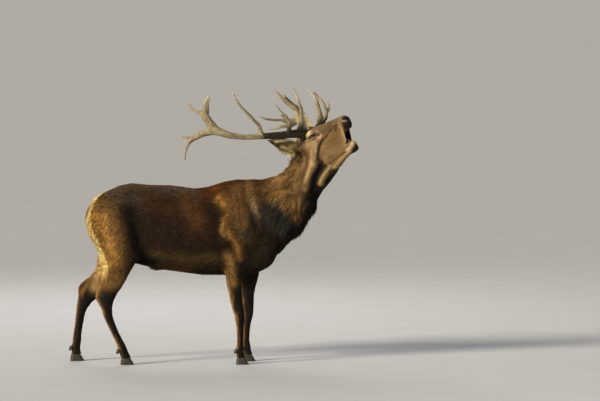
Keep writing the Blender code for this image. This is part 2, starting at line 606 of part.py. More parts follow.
# ---------------------------------------------------------------- antlers
RIGHT_BEAM = [(0.795, -0.062, 1.545, 0.029), (0.775, -0.088, 1.5615, 0.030), (0.728, -0.120, 1.570, 0.030),
              (0.646, -0.160, 1.564, 0.0255), (0.560, -0.202, 1.561, 0.0235), (0.476, -0.230, 1.558, 0.0205),
              (0.374, -0.253, 1.5535, 0.0185), (0.300, -0.261, 1.562, 0.0215), (0.238, -0.262, 1.578, 0.0255),
              (0.180, -0.256, 1.599, 0.0310), (0.136, -0.248, 1.604, 0.0300)]
RIGHT_TINES = {
    "brow": [(0.745, -0.105, 1.575, 0.0260), (0.7514, -0.115, 1.6163, 0.0205),
             (0.759, -0.135, 1.6585, 0.0150),
             (0.760, -0.150, 1.700, 0.0130), (0.755, -0.163, 1.742, 0.0118), (0.740, -0.173, 1.787, 0.0105),
             (0.728, -0.180, 1.825, 0.0090), (0.714, -0.185, 1.859, 0.0075), (0.699, -0.187, 1.880, 0.0060),
             (0.682, -0.188, 1.8935, 0.0030)],
    "bez": [(0.664, -0.158, 1.572, 0.0190), (0.675, -0.172, 1.600, 0.0150), (0.6786, -0.185, 1.635, 0.0112),
            (0.666, -0.200, 1.673, 0.0100), (0.643, -0.210, 1.701, 0.0088), (0.619, -0.215, 1.725, 0.0062),
            (0.598, -0.215, 1.7525, 0.0055), (0.5814, -0.213, 1.780, 0.0030)],
    "bez_spur": [(0.655, -0.205, 1.684, 0.0080), (0.634, -0.215, 1.688, 0.0066),
                 (0.619, -0.220, 1.700, 0.0058),
                 (0.604, -0.222, 1.7055, 0.0030)],
    "trez": [(0.488, -0.226, 1.562, 0.0210), (0.480, -0.230, 1.598, 0.0165), (0.470, -0.238, 1.632, 0.0136),
             (0.443, -0.255, 1.662, 0.0124), (0.405, -0.272, 1.703, 0.0110), (0.365, -0.285, 1.744, 0.0092),
             (0.338, -0.293, 1.778, 0.0085), (0.3155, -0.298, 1.813, 0.0078), (0.298, -0.300, 1.847, 0.0068),
             (0.2875, -0.300, 1.881, 0.0036)],
    "crown_upper": [(0.195, -0.258, 1.592, 0.026), (0.150, -0.250, 1.636, 0.0275),
                    (0.112, -0.244, 1.690, 0.0280),
                    (0.098, -0.240, 1.722, 0.0230)],
    "crown_a": [(0.105, -0.240, 1.708, 0.0160), (0.068, -0.230, 1.7195, 0.0122),
                (0.038, -0.218, 1.729, 0.0102),
                (0.015, -0.207, 1.7475, 0.0088), (0.000, -0.200, 1.770, 0.0070),
                (-0.011, -0.195, 1.791, 0.0030)],
    "crown_c": [(0.180, -0.255, 1.596, 0.0270), (0.110, -0.240, 1.5825, 0.0235),
                (0.068, -0.230, 1.563, 0.0212),
                (0.034, -0.222, 1.549, 0.0200), (0.010, -0.215, 1.550, 0.0130),
                (-0.014, -0.210, 1.5508, 0.0088),
                (-0.035, -0.201, 1.547, 0.0076), (-0.049, -0.195, 1.554, 0.0062),
                (-0.0545, -0.192, 1.567, 0.0030)],
    "crown_d": [(0.040, -0.222, 1.552, 0.0190), (0.016, -0.225, 1.532, 0.0170),
                (-0.001, -0.229, 1.512, 0.0125),
                (-0.012, -0.234, 1.488, 0.0095), (-0.0225, -0.238, 1.460, 0.0082),
                (-0.0275, -0.240, 1.4325, 0.0074),
                (-0.0265, -0.240, 1.410, 0.0068), (-0.0235, -0.238, 1.3945, 0.0035)],
    "crown_spike": [(0.072, -0.233, 1.575, 0.0120), (0.0715, -0.238, 1.590, 0.0080),
                    (0.0715, -0.240, 1.605, 0.0030)],
    "crown_knob": [(0.140, -0.248, 1.640, 0.0180), (0.156, -0.250, 1.656, 0.0110),
                   (0.1655, -0.250, 1.667, 0.0035)],
}
RIGHT_BLADE = [(0.120, -0.247, 1.665, 0.0270), (0.109, -0.252, 1.712, 0.0290), (0.113, -0.264, 1.750, 0.0250),
               (0.119, -0.275, 1.789, 0.0190), (0.130, -0.283, 1.820, 0.0110), (0.141, -0.288, 1.849, 0.0030)]
LEFT_BEAM = [(0.814, -0.008, 1.564, 0.029), (0.8255, 0.004, 1.5725, 0.030), (0.8585, 0.0425, 1.571, 0.0280),
             (0.8704, 0.140, 1.562, 0.0260), (0.862, 0.240, 1.5615, 0.0240), (0.822, 0.345, 1.5625, 0.0225),
             (0.780, 0.435, 1.584, 0.0220), (0.748, 0.505, 1.620, 0.0250), (0.736, 0.548, 1.652, 0.0270)]
LEFT_TINES = {
    "brow": [(*head(0.020, 0.084, 0.000), 0.0220), (*head(0.055, 0.094, 0.014), 0.0185),
             (*head(0.088, 0.092, 0.032), 0.0165), (*head(0.124, 0.104, 0.062), 0.0145),
             (*head(0.136, 0.113, 0.100), 0.0125), (*head(0.135, 0.120, 0.140), 0.0110),
             (*head(0.121, 0.127, 0.186), 0.0095), (*head(0.099, 0.130, 0.2355), 0.0068),
             (*head(0.076, 0.126, 0.272), 0.0030)],
    "brow_spur": [(*head(0.130, 0.112, 0.080), 0.0115), (*head(0.1525, 0.130, 0.1005), 0.0082),
                  (*head(0.157, 0.140, 0.132), 0.0066), (*head(0.1535, 0.145, 0.1616), 0.0030)],
    "bez": [(*head(0.026, 0.088, 0.002), 0.0220), (*head(0.048, 0.088, 0.019), 0.0215),
            (*head(0.066, 0.080, 0.028), 0.0215), (*head(0.087, 0.090, 0.073), 0.0212),
            (*head(0.0976, 0.098, 0.140), 0.0165), (*head(0.1020, 0.100, 0.200), 0.0125),
            (*head(0.092, 0.097, 0.2475), 0.0088), (*head(0.073, 0.091, 0.2886), 0.0030)],
    "crown_a": [(0.737, 0.545, 1.640, 0.0240), (0.721, 0.560, 1.697, 0.0180), (0.660, 0.565, 1.747, 0.0165),
                (0.612, 0.565, 1.792, 0.0125), (0.585, 0.560, 1.820, 0.0080), (0.563, 0.555, 1.842, 0.0030)],
    "crown_b": [(0.735, 0.562, 1.682, 0.0160), (0.725, 0.580, 1.715, 0.0140), (0.684, 0.600, 1.747, 0.0115),
                (0.650, 0.610, 1.782, 0.0090), (0.623, 0.615, 1.816, 0.0030)],
    "crown_c": [(0.742, 0.540, 1.635, 0.0260), (0.719, 0.535, 1.620, 0.0240), (0.667, 0.520, 1.622, 0.0225),
                (0.625, 0.510, 1.629, 0.0125), (0.595, 0.505, 1.631, 0.0105), (0.527, 0.490, 1.635, 0.0090),
                (0.497, 0.485, 1.643, 0.0072), (0.461, 0.475, 1.660, 0.0030)],
    "crown_d": [(0.737, 0.545, 1.632, 0.0220), (0.697, 0.570, 1.596, 0.0180), (0.657, 0.580, 1.584, 0.0155),
                (0.616, 0.590, 1.580, 0.0125), (0.575, 0.600, 1.565, 0.0080), (0.516, 0.600, 1.559, 0.0030)],
}


def burr(at, axis):
    """The pearled coronet round the foot of an antler."""
    return tube([(*(at - axis * 0.016), 0.030), (*(at - axis * 0.008), 0.0395),
    (*(at + axis * 0.002), 0.0415),
                 (*(at + axis * 0.010), 0.036), (*(at + axis * 0.018), 0.029)], 3, 18)


def inflated(ob, name):
    """A copy swollen by the gap, used to clear neighbours."""
    copy = bpy.data.objects.new(name, ob.data.copy())
    bpy.context.scene.collection.objects.link(copy)
    mesh = copy.data
    co = np.empty(len(mesh.vertices) * 3)
    normal = np.empty(len(mesh.vertices) * 3)
    mesh.vertices.foreach_get("co", co)
    mesh.vertices.foreach_get("normal", normal)
    mesh.vertices.foreach_set("co", co + normal * PART_GAP)
    mesh.update()
    return copy


def tine_slab(path, index, size):
    """Parting slab across a tube at one of its rows."""
    here = Vector(path[index][:3])
    ahead = (Vector(path[index + 1][:3]) - Vector(path[index - 1][:3])).normalized()
    up = Z_AXIS if abs(ahead.z) < 0.9 else X_AXIS
    return slab(here, ahead, size, size, up)


def at(path, index):
    return path[index][:3]


# ---------------------------------------------------------------- flesh: fuse, fill, thin, part
flesh = mesh_of("flesh", flesh_pieces())
fuse(flesh, FLESH_VOXEL)
relax(flesh, FILLET_PASSES)


def care(point):
    """Where the flesh is thinned less: head and feet."""
    if (Vector(point) - head(0.10, 0, -0.08)).length < HEAD_CARE_REACH:
        return HEAD_CARE
    return LEG_CARE if point.z < LEG_CARE_TOP else 1.0


thin_out(flesh, FLESH_TRIANGLES, care)
carve(flesh, mesh_of("mouth_cut", [loft(MOUTH, 1, 16)]))

cleared = inflated(flesh, "cleared")


def clear_of_flesh(ob):
    """Keeps the largest piece of the object that lies outside the flesh."""
    carve(ob, cleared, keep_cutter=True)
    name = ob.name
    parts = sorted(loose_parts(ob), key=lambda p: -abs(volume(p)))
    bpy.data.objects.remove(ob, do_unlink=True)
    return mesh_of(name, parts[:1])


eyes, horn = {}, {}
for word, s in SIDES:
    centre = head(0.060, s * 0.0735, -0.032)
    socket = (EYE_RADIUS + PART_GAP,) * 3
    carve(flesh, mesh_of("socket", [ball(centre, socket, HEAD_AXES, 2)]))
    eyes["eye_" + word] = mesh_of("eye_" + word, [ball(centre, (EYE_RADIUS,) * 3, HEAD_AXES, 2)])

# ears, tail and tongue are fitted against the body
fitted = {}
for name, leaf in EARS.items():
    ear = mesh_of(name, [ear_leaf(*leaf)])
    thin_out(ear, EAR_TRIANGLES)
    fitted[name] = clear_of_flesh(ear)
fitted["tail"] = clear_of_flesh(mesh_of("tail", [loft(TAIL, 2, 10)]))
TONGUE = [
    head_row(0.150, -0.124, -0.150, 0.0150, -0.140),
    head_row(0.190, -0.120, -0.158, 0.0220, -0.140),
    head_row(0.230, -0.124, -0.164, 0.0235, -0.144),
    head_row(0.262, -0.130, -0.164, 0.0200, -0.148),
    head_row(0.280, -0.138, -0.160, 0.0100, -0.149),
]
fitted["tongue"] = clear_of_flesh(mesh_of("tongue", [loft(TONGUE, 1, 10)]))

# ---------------------------------------------------------------- antlers: fuse, thin, part
burr_right = burr(Vector((0.777, -0.085, 1.561)), Vector((-0.80, -0.55, 0.18)).normalized())
burr_left = burr(Vector((0.826, 0.004, 1.573)), Vector((0.80, 0.58, 0.02)).normalized())
blade = tube(RIGHT_BLADE, 3, 14, 0.5, Y_AXIS)


def antler(name, beam, tines, extra):
    ob = mesh_of(name, [tube(beam), *(tube(path, 3, 12) for path in tines.values()), *extra])
    fuse(ob, ANTLER_VOXEL)
    relax(ob, 3)
    thin_out(ob, ANTLER_TRIANGLES)
    return clear_of_flesh(ob)


RIGHT_PARTING = [              # (path, row, half size of the cut)
    (RIGHT_BEAM, 4, 0.036), (RIGHT_TINES["brow"], 1, 0.034), (RIGHT_TINES["bez"], 2, 0.024),
    (RIGHT_TINES["trez"], 2, 0.024), (RIGHT_TINES["crown_upper"], 1, 0.040),
    (RIGHT_TINES["crown_a"], 1, 0.022), (RIGHT_BLADE, 2, 0.036), (RIGHT_TINES["crown_c"], 2, 0.032),
    (RIGHT_TINES["crown_c"], 5, 0.014), (RIGHT_TINES["crown_d"], 3, 0.018),
]
LEFT_PARTING = [
    (LEFT_BEAM, 5, 0.036), (LEFT_TINES["brow"], 5, 0.016), (LEFT_TINES["bez"], 4, 0.022),
    (LEFT_TINES["crown_a"], 2, 0.026), (LEFT_TINES["crown_b"], 2, 0.016),
    (LEFT_TINES["crown_c"], 2, 0.032), (LEFT_TINES["crown_d"], 2, 0.026),
]
RIGHT_PLACES = {
    "antler_right_base": at(RIGHT_BEAM, 3), "antler_right_beam": at(RIGHT_BEAM, 7),
    "antler_right_brow": RIGHT_TINES["brow"][-1][:3], "antler_right_bez": RIGHT_TINES["bez"][-1][:3],
    "antler_right_trez": RIGHT_TINES["trez"][-1][:3],
    "antler_right_crown_upper": at(RIGHT_TINES["crown_upper"], 2),
    "antler_right_crown_rear": RIGHT_TINES["crown_a"][-1][:3], "antler_right_crown_blade": RIGHT_BLADE[-1][:3],
    "antler_right_crown_lower": at(RIGHT_TINES["crown_c"], 3),
    "antler_right_crown_hook": RIGHT_TINES["crown_c"][-1][:3],
    "antler_right_crown_drop": RIGHT_TINES["crown_d"][-1][:3],
}
LEFT_PLACES = {
    "antler_left_base": at(LEFT_BEAM, 3), "antler_left_beam": at(LEFT_BEAM, 7),
    "antler_left_brow": LEFT_TINES["brow"][-1][:3],
    "antler_left_bez": LEFT_TINES["bez"][-1][:3], "antler_left_crown_a": LEFT_TINES["crown_a"][-1][:3],
    "antler_left_crown_b": LEFT_TINES["crown_b"][-1][:3], "antler_left_crown_c": LEFT_TINES["crown_c"][-1][:3],
    "antler_left_crown_d": LEFT_TINES["crown_d"][-1][:3],
}


def part_along(ob, slabs, places):
    carve(ob, mesh_of("slabs", slabs))
    return distribute(ob, places)


right = antler("antler_right", RIGHT_BEAM, RIGHT_TINES, [burr_right, blade])
left = antler("antler_left", LEFT_BEAM, LEFT_TINES, [burr_left])
for whole, name in ((right, "ear_right"), (left, "ear_left")):
    carve(fitted[name], inflated(whole, "room"))
horn.update(part_along(right, [tine_slab(*cut) for cut in RIGHT_PARTING], RIGHT_PLACES))
horn.update(part_along(left, [tine_slab(*cut) for cut in LEFT_PARTING], LEFT_PLACES))

# ---------------------------------------------------------------- dewclaws and hooves
HOOF_TOP = 0.046
FEET = {                    # (rear of the hoof, its toe, y), at the sole
    "hind_right": (-0.470, -0.378, -0.125), "hind_left": (-0.824, -0.728, 0.125),
    "fore_right": (0.314, 0.400, -0.105), "fore_left": (0.359, 0.445, 0.105),
}


TOE_LEVELS = [              # (height, how far the heel and the toe lie inside the sole's, width)
    (0.0, 0.0, 0.0, 1.0), (0.004, -0.001, 0.001, 1.03), (0.020, 0.000, 0.010, 1.0),
    (0.036, 0.002, 0.021, 0.96), (HOOF_TOP - PART_GAP, 0.004, 0.028, 0.90),
]


def toe(heel, tip, y, s):
    """One half of a cloven hoof with a flat sole."""
    inner, outer = 0.0016, 0.0275
    mid, half = (inner + outer) / 2, (outer - inner) / 2
    rows = []
    for level, back, front, swell in TOE_LEVELS:
        rows.append((level, heel + back, tip - front, half * swell))
    points, faces = [], []
    around = 10
    for level, rear, front, wide in rows:
        for k in range(around):
            t = 2 * math.pi * k / around
            c, sn = math.cos(t), math.sin(t)
            reach = (front + rear) / 2 + (front - rear) / 2 * math.copysign(abs(c) ** 0.85, c)
            taper = 1.0 - 0.42 * max(0.0, c) ** 2
            points.append((reach, y + s * (mid - 0.35 * half * max(0.0, c) ** 2) + wide * taper * sn, level))
    for r in range(len(rows) - 1):
        for k in range(around):
            n = (k + 1) % around
            faces.append((r * around + k, r * around + n, (r + 1) * around + n, (r + 1) * around + k))
    faces.append(tuple(range(around))[::-1])
    faces.append(tuple((len(rows) - 1) * around + k for k in range(around)))
    return np.array(points), faces


DEWCLAWS = {                # where each pair sits: (x, z)
    "hind_right": (-0.489, 0.092), "hind_left": (-0.822, 0.090), "fore_right": (0.311, 0.092),
    "fore_left": (0.356, 0.090),
}
CLAW = [                    # along a claw: (forward, outward, up, radius)
    (0.014, 0.0120, 0.014, 0.0050), (0.006, 0.0150, 0.005, 0.0110),
    (-0.001, 0.0160, -0.006, 0.0110), (-0.006, 0.0160, -0.016, 0.0040),
]
feet = {}
for word, (heel, tip, y) in FEET.items():
    x, z = DEWCLAWS[word]
    for label, s in (("outer", math.copysign(1, y)), ("inner", -math.copysign(1, y))):
        feet[f"hoof_{word}_{label}"] = mesh_of(f"hoof_{word}_{label}", [toe(heel, tip, y, s)])
        claw = [(x + back, y + s * aside, z + above, radius) for back, aside, above, radius in CLAW]
        name = f"dewclaw_{word}_{label}"
        feet[name] = clear_of_flesh(mesh_of(name, [tube(claw, 1, 7)]))

# ---------------------------------------------------------------- part the body
BODY_CUTS = [
    slab((0.585, 0, 1.053), (0.876, 0, 0.483), 0.26, 0.34),                        # neck from trunk
    slab((0.806, -0.022, 1.285), (0.735, -0.030, 0.675), 0.165, 0.20),             # head from neck
    slab((-0.520, -0.135, 0.630), (0.06, 0, 1), 0.105, 0.150, X_AXIS),             # the four legs
    slab((-0.570, 0.135, 0.632), (0.06, 0, 1), 0.105, 0.150, X_AXIS),
    slab((0.300, -0.125, 0.580), (0.06, 0, 1), 0.105, 0.120, X_AXIS),
    slab((0.398, 0.125, 0.574), (0.06, 0, 1), 0.105, 0.120, X_AXIS),
    slab((-0.562, -0.125, 0.392), Z_AXIS, 0.060, 0.090, X_AXIS),                     # hocks and knees
    slab((-0.738, 0.125, 0.384), Z_AXIS, 0.060, 0.090, X_AXIS),
    slab((0.336, -0.105, 0.270), Z_AXIS, 0.060, 0.070, X_AXIS),
    slab((0.390, 0.105, 0.266), Z_AXIS, 0.060, 0.070, X_AXIS),
]
BODY_PLACES = {
    "trunk": (0.0, 0.0, 1.201), "neck": (0.656, 0.0, 1.334), "head": tuple(head(0.2, 0, 0.024)),
    "leg_hind_right_upper": (-0.459, -0.125, 0.523), "leg_hind_left_upper": (-0.566, 0.125, 0.497),
    "leg_fore_right_upper": (0.352, -0.105, 0.440), "leg_fore_left_upper": (0.437, 0.105, 0.440),
    "leg_hind_right_lower": (-0.471, -0.125, 0.208), "leg_hind_left_lower": (-0.740, 0.125, 0.205),
    "leg_fore_right_lower": (0.3595, -0.105, 0.200), "leg_fore_left_lower": (0.408, 0.105, 0.195),
}


def box(low, high):
    bm = bmesh.new()
    bmesh.ops.create_cube(bm, size=1.0)
    low, high = Vector(low), Vector(high)
    points = [tuple((low[i] + high[i]) / 2 + v.co[i] * (high[i] - low[i]) for i in range(3)) for v in bm.verts]
    faces = [tuple(v.index for v in f.verts) for f in bm.faces]
    bm.free()
    return np.array(points), faces


carve(flesh, mesh_of("feet_cut", [box((-1.2, -0.5, -0.2), (1.2, 0.5, HOOF_TOP))]))
bpy.data.objects.remove(cleared, do_unlink=True)
body = part_along(flesh, BODY_CUTS, BODY_PLACES)

# ---------------------------------------------------------------- materials and final place
COLOURS = {
    "coat": ((0.105, 0.066, 0.040, 1), 0.85), "coat_dark": ((0.040, 0.031, 0.026, 1), 0.85),
    "coat_rump": ((0.52, 0.41, 0.27, 1), 0.85), "eye": ((0.02, 0.012, 0.008, 1), 0.08),
    "antler": ((0.26, 0.19, 0.12, 1), 0.55), "hoof": ((0.03, 0.026, 0.022, 1), 0.5),
    "tongue": ((0.32, 0.13, 0.12, 1), 0.4), "coat_head": ((0.22, 0.145, 0.088, 1), 0.85),
}


def paint(ob, slot):
    colour, rough = COLOURS[slot]
    material = bpy.data.materials.new(ob.name)
    material.use_nodes = True
    shader = material.node_tree.nodes["Principled BSDF"]
    shader.inputs["Base Color"].default_value = colour
    shader.inputs["Roughness"].default_value = rough
    ob.data.materials.clear()
    ob.data.materials.append(material)


def slot_of(name):
    if name.startswith("antler"):
        return "antler"
    if name.startswith(("hoof", "dewclaw")):
        return "hoof"
    if name.startswith("eye"):
        return "eye"
    if name == "tongue":
        return "tongue"
    if name in ("head", "ear_right", "ear_left"):
        return "coat_head"
    if name == "tail":
        return "coat_rump"
    return "coat_dark" if name.startswith("leg") and name.endswith("_lower") else "coat"


solids = {**body, **eyes, **fitted, **horn, **feet}
low = Vector((1e9,) * 3)
high = -low
for ob in solids.values():
    for v in ob.data.vertices:
        for i in range(3):
            low[i] = min(low[i], v.co[i])
            high[i] = max(high[i], v.co[i])
shift = Vector((-(low.x + high.x) / 2, -(low.y + high.y) / 2, -low.z))
for name, ob in solids.items():
    bm = bmesh.new()
    bm.from_mesh(ob.data)
    bmesh.ops.remove_doubles(bm, verts=bm.verts, dist=0.00002)
    bmesh.ops.dissolve_degenerate(bm, edges=bm.edges, dist=0.00002)
    bmesh.ops.triangulate(bm, faces=bm.faces)
    bmesh.ops.translate(bm, verts=bm.verts, vec=shift)
    bmesh.ops.recalc_face_normals(bm, faces=bm.faces)
    bm.to_mesh(ob.data)
    bm.free()
    for face in ob.data.polygons:
        face.use_smooth = True
    paint(ob, slot_of(name))
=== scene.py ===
"""Looks of the roaring red deer stag: skin, a coat of tufts, antlers, eyes, mouth and hooves."""

import math

import bmesh
import bpy
import numpy as np
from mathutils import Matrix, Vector
from mathutils.bvhtree import BVHTree
from mathutils.kdtree import KDTree

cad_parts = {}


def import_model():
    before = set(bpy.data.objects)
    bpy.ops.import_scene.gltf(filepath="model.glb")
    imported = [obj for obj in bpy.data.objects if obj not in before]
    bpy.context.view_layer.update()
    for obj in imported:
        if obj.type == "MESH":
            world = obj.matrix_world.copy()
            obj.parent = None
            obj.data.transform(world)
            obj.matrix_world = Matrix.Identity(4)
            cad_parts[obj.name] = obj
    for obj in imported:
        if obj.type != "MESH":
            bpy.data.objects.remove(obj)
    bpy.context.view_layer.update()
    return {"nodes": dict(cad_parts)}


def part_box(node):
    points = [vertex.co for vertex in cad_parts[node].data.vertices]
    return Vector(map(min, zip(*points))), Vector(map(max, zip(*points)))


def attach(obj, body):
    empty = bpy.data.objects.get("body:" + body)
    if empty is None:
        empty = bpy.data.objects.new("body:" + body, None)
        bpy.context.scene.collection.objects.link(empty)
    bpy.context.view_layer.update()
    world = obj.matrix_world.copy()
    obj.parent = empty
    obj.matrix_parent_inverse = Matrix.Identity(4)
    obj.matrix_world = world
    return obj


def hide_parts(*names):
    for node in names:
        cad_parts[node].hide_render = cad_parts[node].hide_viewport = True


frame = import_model()

# ---------------------------------------------------------------- driving sizes (metres)
SKIN_VOXEL = 0.0032
SKIN_TRIANGLES = 190000
ANTLER_VOXEL = 0.0024
CLAW_VOXEL = 0.0016
PART_GAP = 0.0006            # more than the air between neighbouring solids
WELD = 0.00001               # points closer than this are one point
EYE_RADIUS = 0.0195
EVEN_STEPS = 70              # passes that round the solids' facets
EVEN_FACE_STEPS = 12         # the first of them, in which face and ears take part
EVEN_LEG_STEPS = 24          # and the legs
DEPTH_PASSES = 12            # passes that even out the depth of the coat
ANTLER_PASSES = 14           # passes that round the antlers' facets
CARE_LEVELS = 20             # steps in which the thinning goes from coarse to fine
SEED = 11                    # of all that is random in the coat
BODY_TUFTS = 62000
MANE_TUFTS = 24000
HEAD_TUFTS = 66000
LEG_TUFTS = 40000
EAR_TUFTS = 6000

# the head's own frame, in the stag's frame: origin midway between the antler burrs
HEAD_AT = np.array((0.8, -0.04, 1.5666))
FORE = np.array((0.806, -0.469, 0.359))
FORE /= np.linalg.norm(FORE)
LEFT = np.array((0.459, 0.88, 0.12))
UP = np.cross(FORE, LEFT)
UP /= np.linalg.norm(UP)
LEFT = np.cross(UP, FORE)


def head(fore, left, up):
    """A point of the head's frame in the stag's frame."""
    return HEAD_AT + FORE * fore + LEFT * left + UP * up


def box_middle(node):
    """The middle of a CAD node's box."""
    low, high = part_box(node)
    return (np.array(low) + np.array(high)) / 2


EYE = (0.06, 0.0735, -0.032)        # the left eye's centre in the head's frame; the right eye mirrors it
# the stag's frame stands in the row's frame where the right eye says
ORIGIN = box_middle("eye_right") - head(EYE[0], -EYE[1], EYE[2])
NODES = sorted(frame["nodes"])
FLESH = [n for n in NODES if n.startswith(("head", "neck", "trunk", "tail", "ear_", "leg_"))]


# ---------------------------------------------------------------- small helpers
def unit(v):
    v = np.asarray(v, float)
    return v / np.maximum(np.linalg.norm(v, axis=-1, keepdims=True), 1e-9)


def rise(value, low, high):
    """0 below low, 1 above high, smooth between; low may be the larger of the two."""
    t = np.clip((value - low) / (high - low), 0, 1)
    return t * t * (3 - 2 * t)


def blend(base, share, value):
    """The value laid over the base; the share is 0 for the base alone, 1 for the value alone."""
    share = np.asarray(share).reshape(-1, *([1] * (base.ndim - 1)))
    return base * (1 - share) + np.asarray(value, float) * share


def layered(base, *layers):
    """Each layer (share, value) laid over what is under it, in turn."""
    for share, value in layers:
        base = blend(base, share, value)
    return base


HASH_PRIMES = np.array((73856093, 19349663, 83492791), np.uint64)
HASH_LAST = np.uint64(1274126177)


def noise(points, size, seed=0):
    """Smooth values from about -1 to 1 that change over `size` metres (a number, or one for each axis)."""
    grid = points / size + seed * 17.31
    cell = np.floor(grid).astype(np.int64)
    part = grid - cell
    part = part * part * (3 - 2 * part)
    total = np.zeros(len(points))
    for corner in range(8):
        step = np.array([(corner >> axis) & 1 for axis in range(3)])
        key = (cell + step).astype(np.uint64)
        stirred = np.bitwise_xor.reduce(key * HASH_PRIMES, axis=1)
        stirred = (stirred ^ (stirred >> np.uint64(13))) * HASH_LAST
        value = ((stirred >> np.uint64(11)) & np.uint64(0xffff)) / 32767.5 - 1
        total += value * np.prod(np.where(step, part, 1 - part), axis=1)
    return total


def read(items, key, width, kind=np.float32):
    """One property of all vertices, edges, faces or corners, a row for each."""
    values = np.empty(len(items) * width, kind)
    items.foreach_get(key, values)
    return values.reshape(-1, width)


def read_points(mesh):
    return read(mesh.vertices, "co", 3).astype(float)


def read_normals(mesh):
    return read(mesh.vertices, "normal", 3).astype(float)


def read_edges(mesh):
    return read(mesh.edges, "vertices", 2, np.int32)


def write_points(mesh, co):
    mesh.vertices.foreach_set("co", co.astype(np.float32).ravel())
    mesh.update()


def averaged(values, edges, passes, weight=0.5):
    """Values (one row a vertex) evened out along the edges; the weight is one number, or one a vertex."""
    values = np.array(values, float)
    flat = values.reshape(len(values), -1)
    degree = np.maximum(np.bincount(edges.ravel(), minlength=len(flat)), 1)
    for _ in range(passes):
        for axis in range(flat.shape[1]):
            around = np.bincount(edges[:, 0], flat[edges[:, 1], axis], len(flat))
            around += np.bincount(edges[:, 1], flat[edges[:, 0], axis], len(flat))
            flat[:, axis] += (around / degree - flat[:, axis]) * weight
    return flat.reshape(values.shape)


def placed(name, data):
    ob = bpy.data.objects.new(name, data)
    bpy.context.scene.collection.objects.link(ob)
    return ob


def quad(a, b, c, d):
    """Two triangles for the four corners of a face."""
    return [(a, b, c), (a, c, d)]


def smooth_shaded(mesh):
    mesh.polygons.foreach_set("use_smooth", np.full(len(mesh.polygons), True))


def object_of(name, points, triangles):
    """Object from arrays of points and of triangles."""
    mesh = bpy.data.meshes.new(name)
    triangles = np.asarray(triangles, np.int32)
    mesh.vertices.add(len(points))
    mesh.vertices.foreach_set("co", np.asarray(points, np.float32).ravel())
    mesh.loops.add(triangles.size)
    mesh.loops.foreach_set("vertex_index", triangles.ravel())
    mesh.polygons.add(len(triangles))
    mesh.polygons.foreach_set("loop_start", np.arange(0, triangles.size, 3, dtype=np.int32))
    smooth_shaded(mesh)
    mesh.update(calc_edges=True)
    return placed(name, mesh)


def welded(mesh, gap=WELD):
    """The mesh as a bmesh, with its doubled points made one."""
    bm = bmesh.new()
    bm.from_mesh(mesh)
    if gap:
        bmesh.ops.remove_doubles(bm, verts=bm.verts, dist=gap)
    return bm


def mesh_of(name, bm):
    mesh = bpy.data.meshes.new(name)
    bm.to_mesh(mesh)
    bm.free()
    return mesh


def face_outwards(mesh, gap=WELD):
    bm = welded(mesh, gap)
    bmesh.ops.recalc_face_normals(bm, faces=bm.faces)
    bm.to_mesh(mesh)
    bm.free()


def dress(ob, look, slot, *nodes):
    """Gives a piece its material and body, and hides the CAD nodes it stands for; the slot is not used."""
    ob.data.materials.clear()
    ob.data.materials.append(look)
    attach(ob, "root")
    if nodes:
        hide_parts(*nodes)


def paint(mesh, name, colours):
    """Stores one colour for each point."""
    layer = mesh.attributes.new(name, "FLOAT_COLOR", "POINT")
    rgba = np.ones((len(colours), 4), np.float32)
    rgba[:, :3] = colours
    layer.data.foreach_set("color", rgba.ravel())


def mark(mesh, name, values):
    layer = mesh.attributes.new(name, "FLOAT", "POINT")
    layer.data.foreach_set("value", np.asarray(values, np.float32))


def settle(ob):
    """Replaces the object's mesh by what its modifiers make of it."""
    made = bpy.data.meshes.new_from_object(ob.evaluated_get(bpy.context.evaluated_depsgraph_get()))
    ob.modifiers.clear()
    ob.data = made


def fused(name, nodes, voxel):
    """The CAD nodes as one closed surface, the thin air between them filled."""
    whole = bmesh.new()
    for node in nodes:
        bm = welded(frame["nodes"][node].data)
        bmesh.ops.recalc_face_normals(bm, faces=bm.faces)
        bm.normal_update()
        swollen = [v.co + v.normal * PART_GAP for v in bm.verts]
        made = [whole.verts.new(co) for co in swollen]
        for face in bm.faces:
            whole.faces.new([made[v.index] for v in face.verts])
        bm.free()
    ob = placed(name, mesh_of(name, whole))
    modifier = ob.modifiers.new("fuse", "REMESH")
    modifier.mode = "VOXEL"
    modifier.voxel_size = voxel
    settle(ob)
    return ob


def nearest_node(points, nodes):
    """For each point, the index in `nodes` of the CAD node whose surface lies nearest."""
    verts, faces, owner = [], [], []
    for index, node in enumerate(nodes):
        mesh = frame["nodes"][node].data
        base = len(verts)
        verts.extend(v.co.copy() for v in mesh.vertices)
        for face in mesh.polygons:
            faces.append([base + v for v in face.vertices])
            owner.append(index)
    tree = BVHTree.FromPolygons(verts, faces)
    return np.array([owner[tree.find_nearest(Vector(p))[2]] for p in points])


def distance_to(points, path):
    """Distance of each point from a polyline, and how far along it (0 to 1) the nearest place is."""
    path = np.asarray(path, float)
    best = np.full(len(points), 1e9)
    along = np.zeros(len(points))
    for i in range(len(path) - 1):
        a, span = path[i], path[i + 1] - path[i]
        t = np.clip((points - a) @ span / max(span @ span, 1e-12), 0, 1)
        gap = np.linalg.norm(points - a - t[:, None] * span, axis=1)
        closer = gap < best
        best = np.where(closer, gap, best)
        along = np.where(closer, (i + t) / (len(path) - 1), along)
    return best, along


def metres(millimetres):
    """Lengths of the tables, rounded to the micrometre."""
    return np.round(np.asarray(millimetres, float) / 1000, 6)


def near(points, path, radius, power=2):
    """1 on the path and less around it; path and radius in millimetres."""
    gap, _ = distance_to(points, metres(path))
    return np.exp(-(gap / metres(radius)) ** power)


def painted(tone, points, marks, share=1.0, power=2):
    """The tone under marks (path, radius, colour, strength) laid on one after another."""
    for path, radius, colour, strength in marks:
        tone = blend(tone, share * strength * near(points, path, radius, power), colour)
    return tone


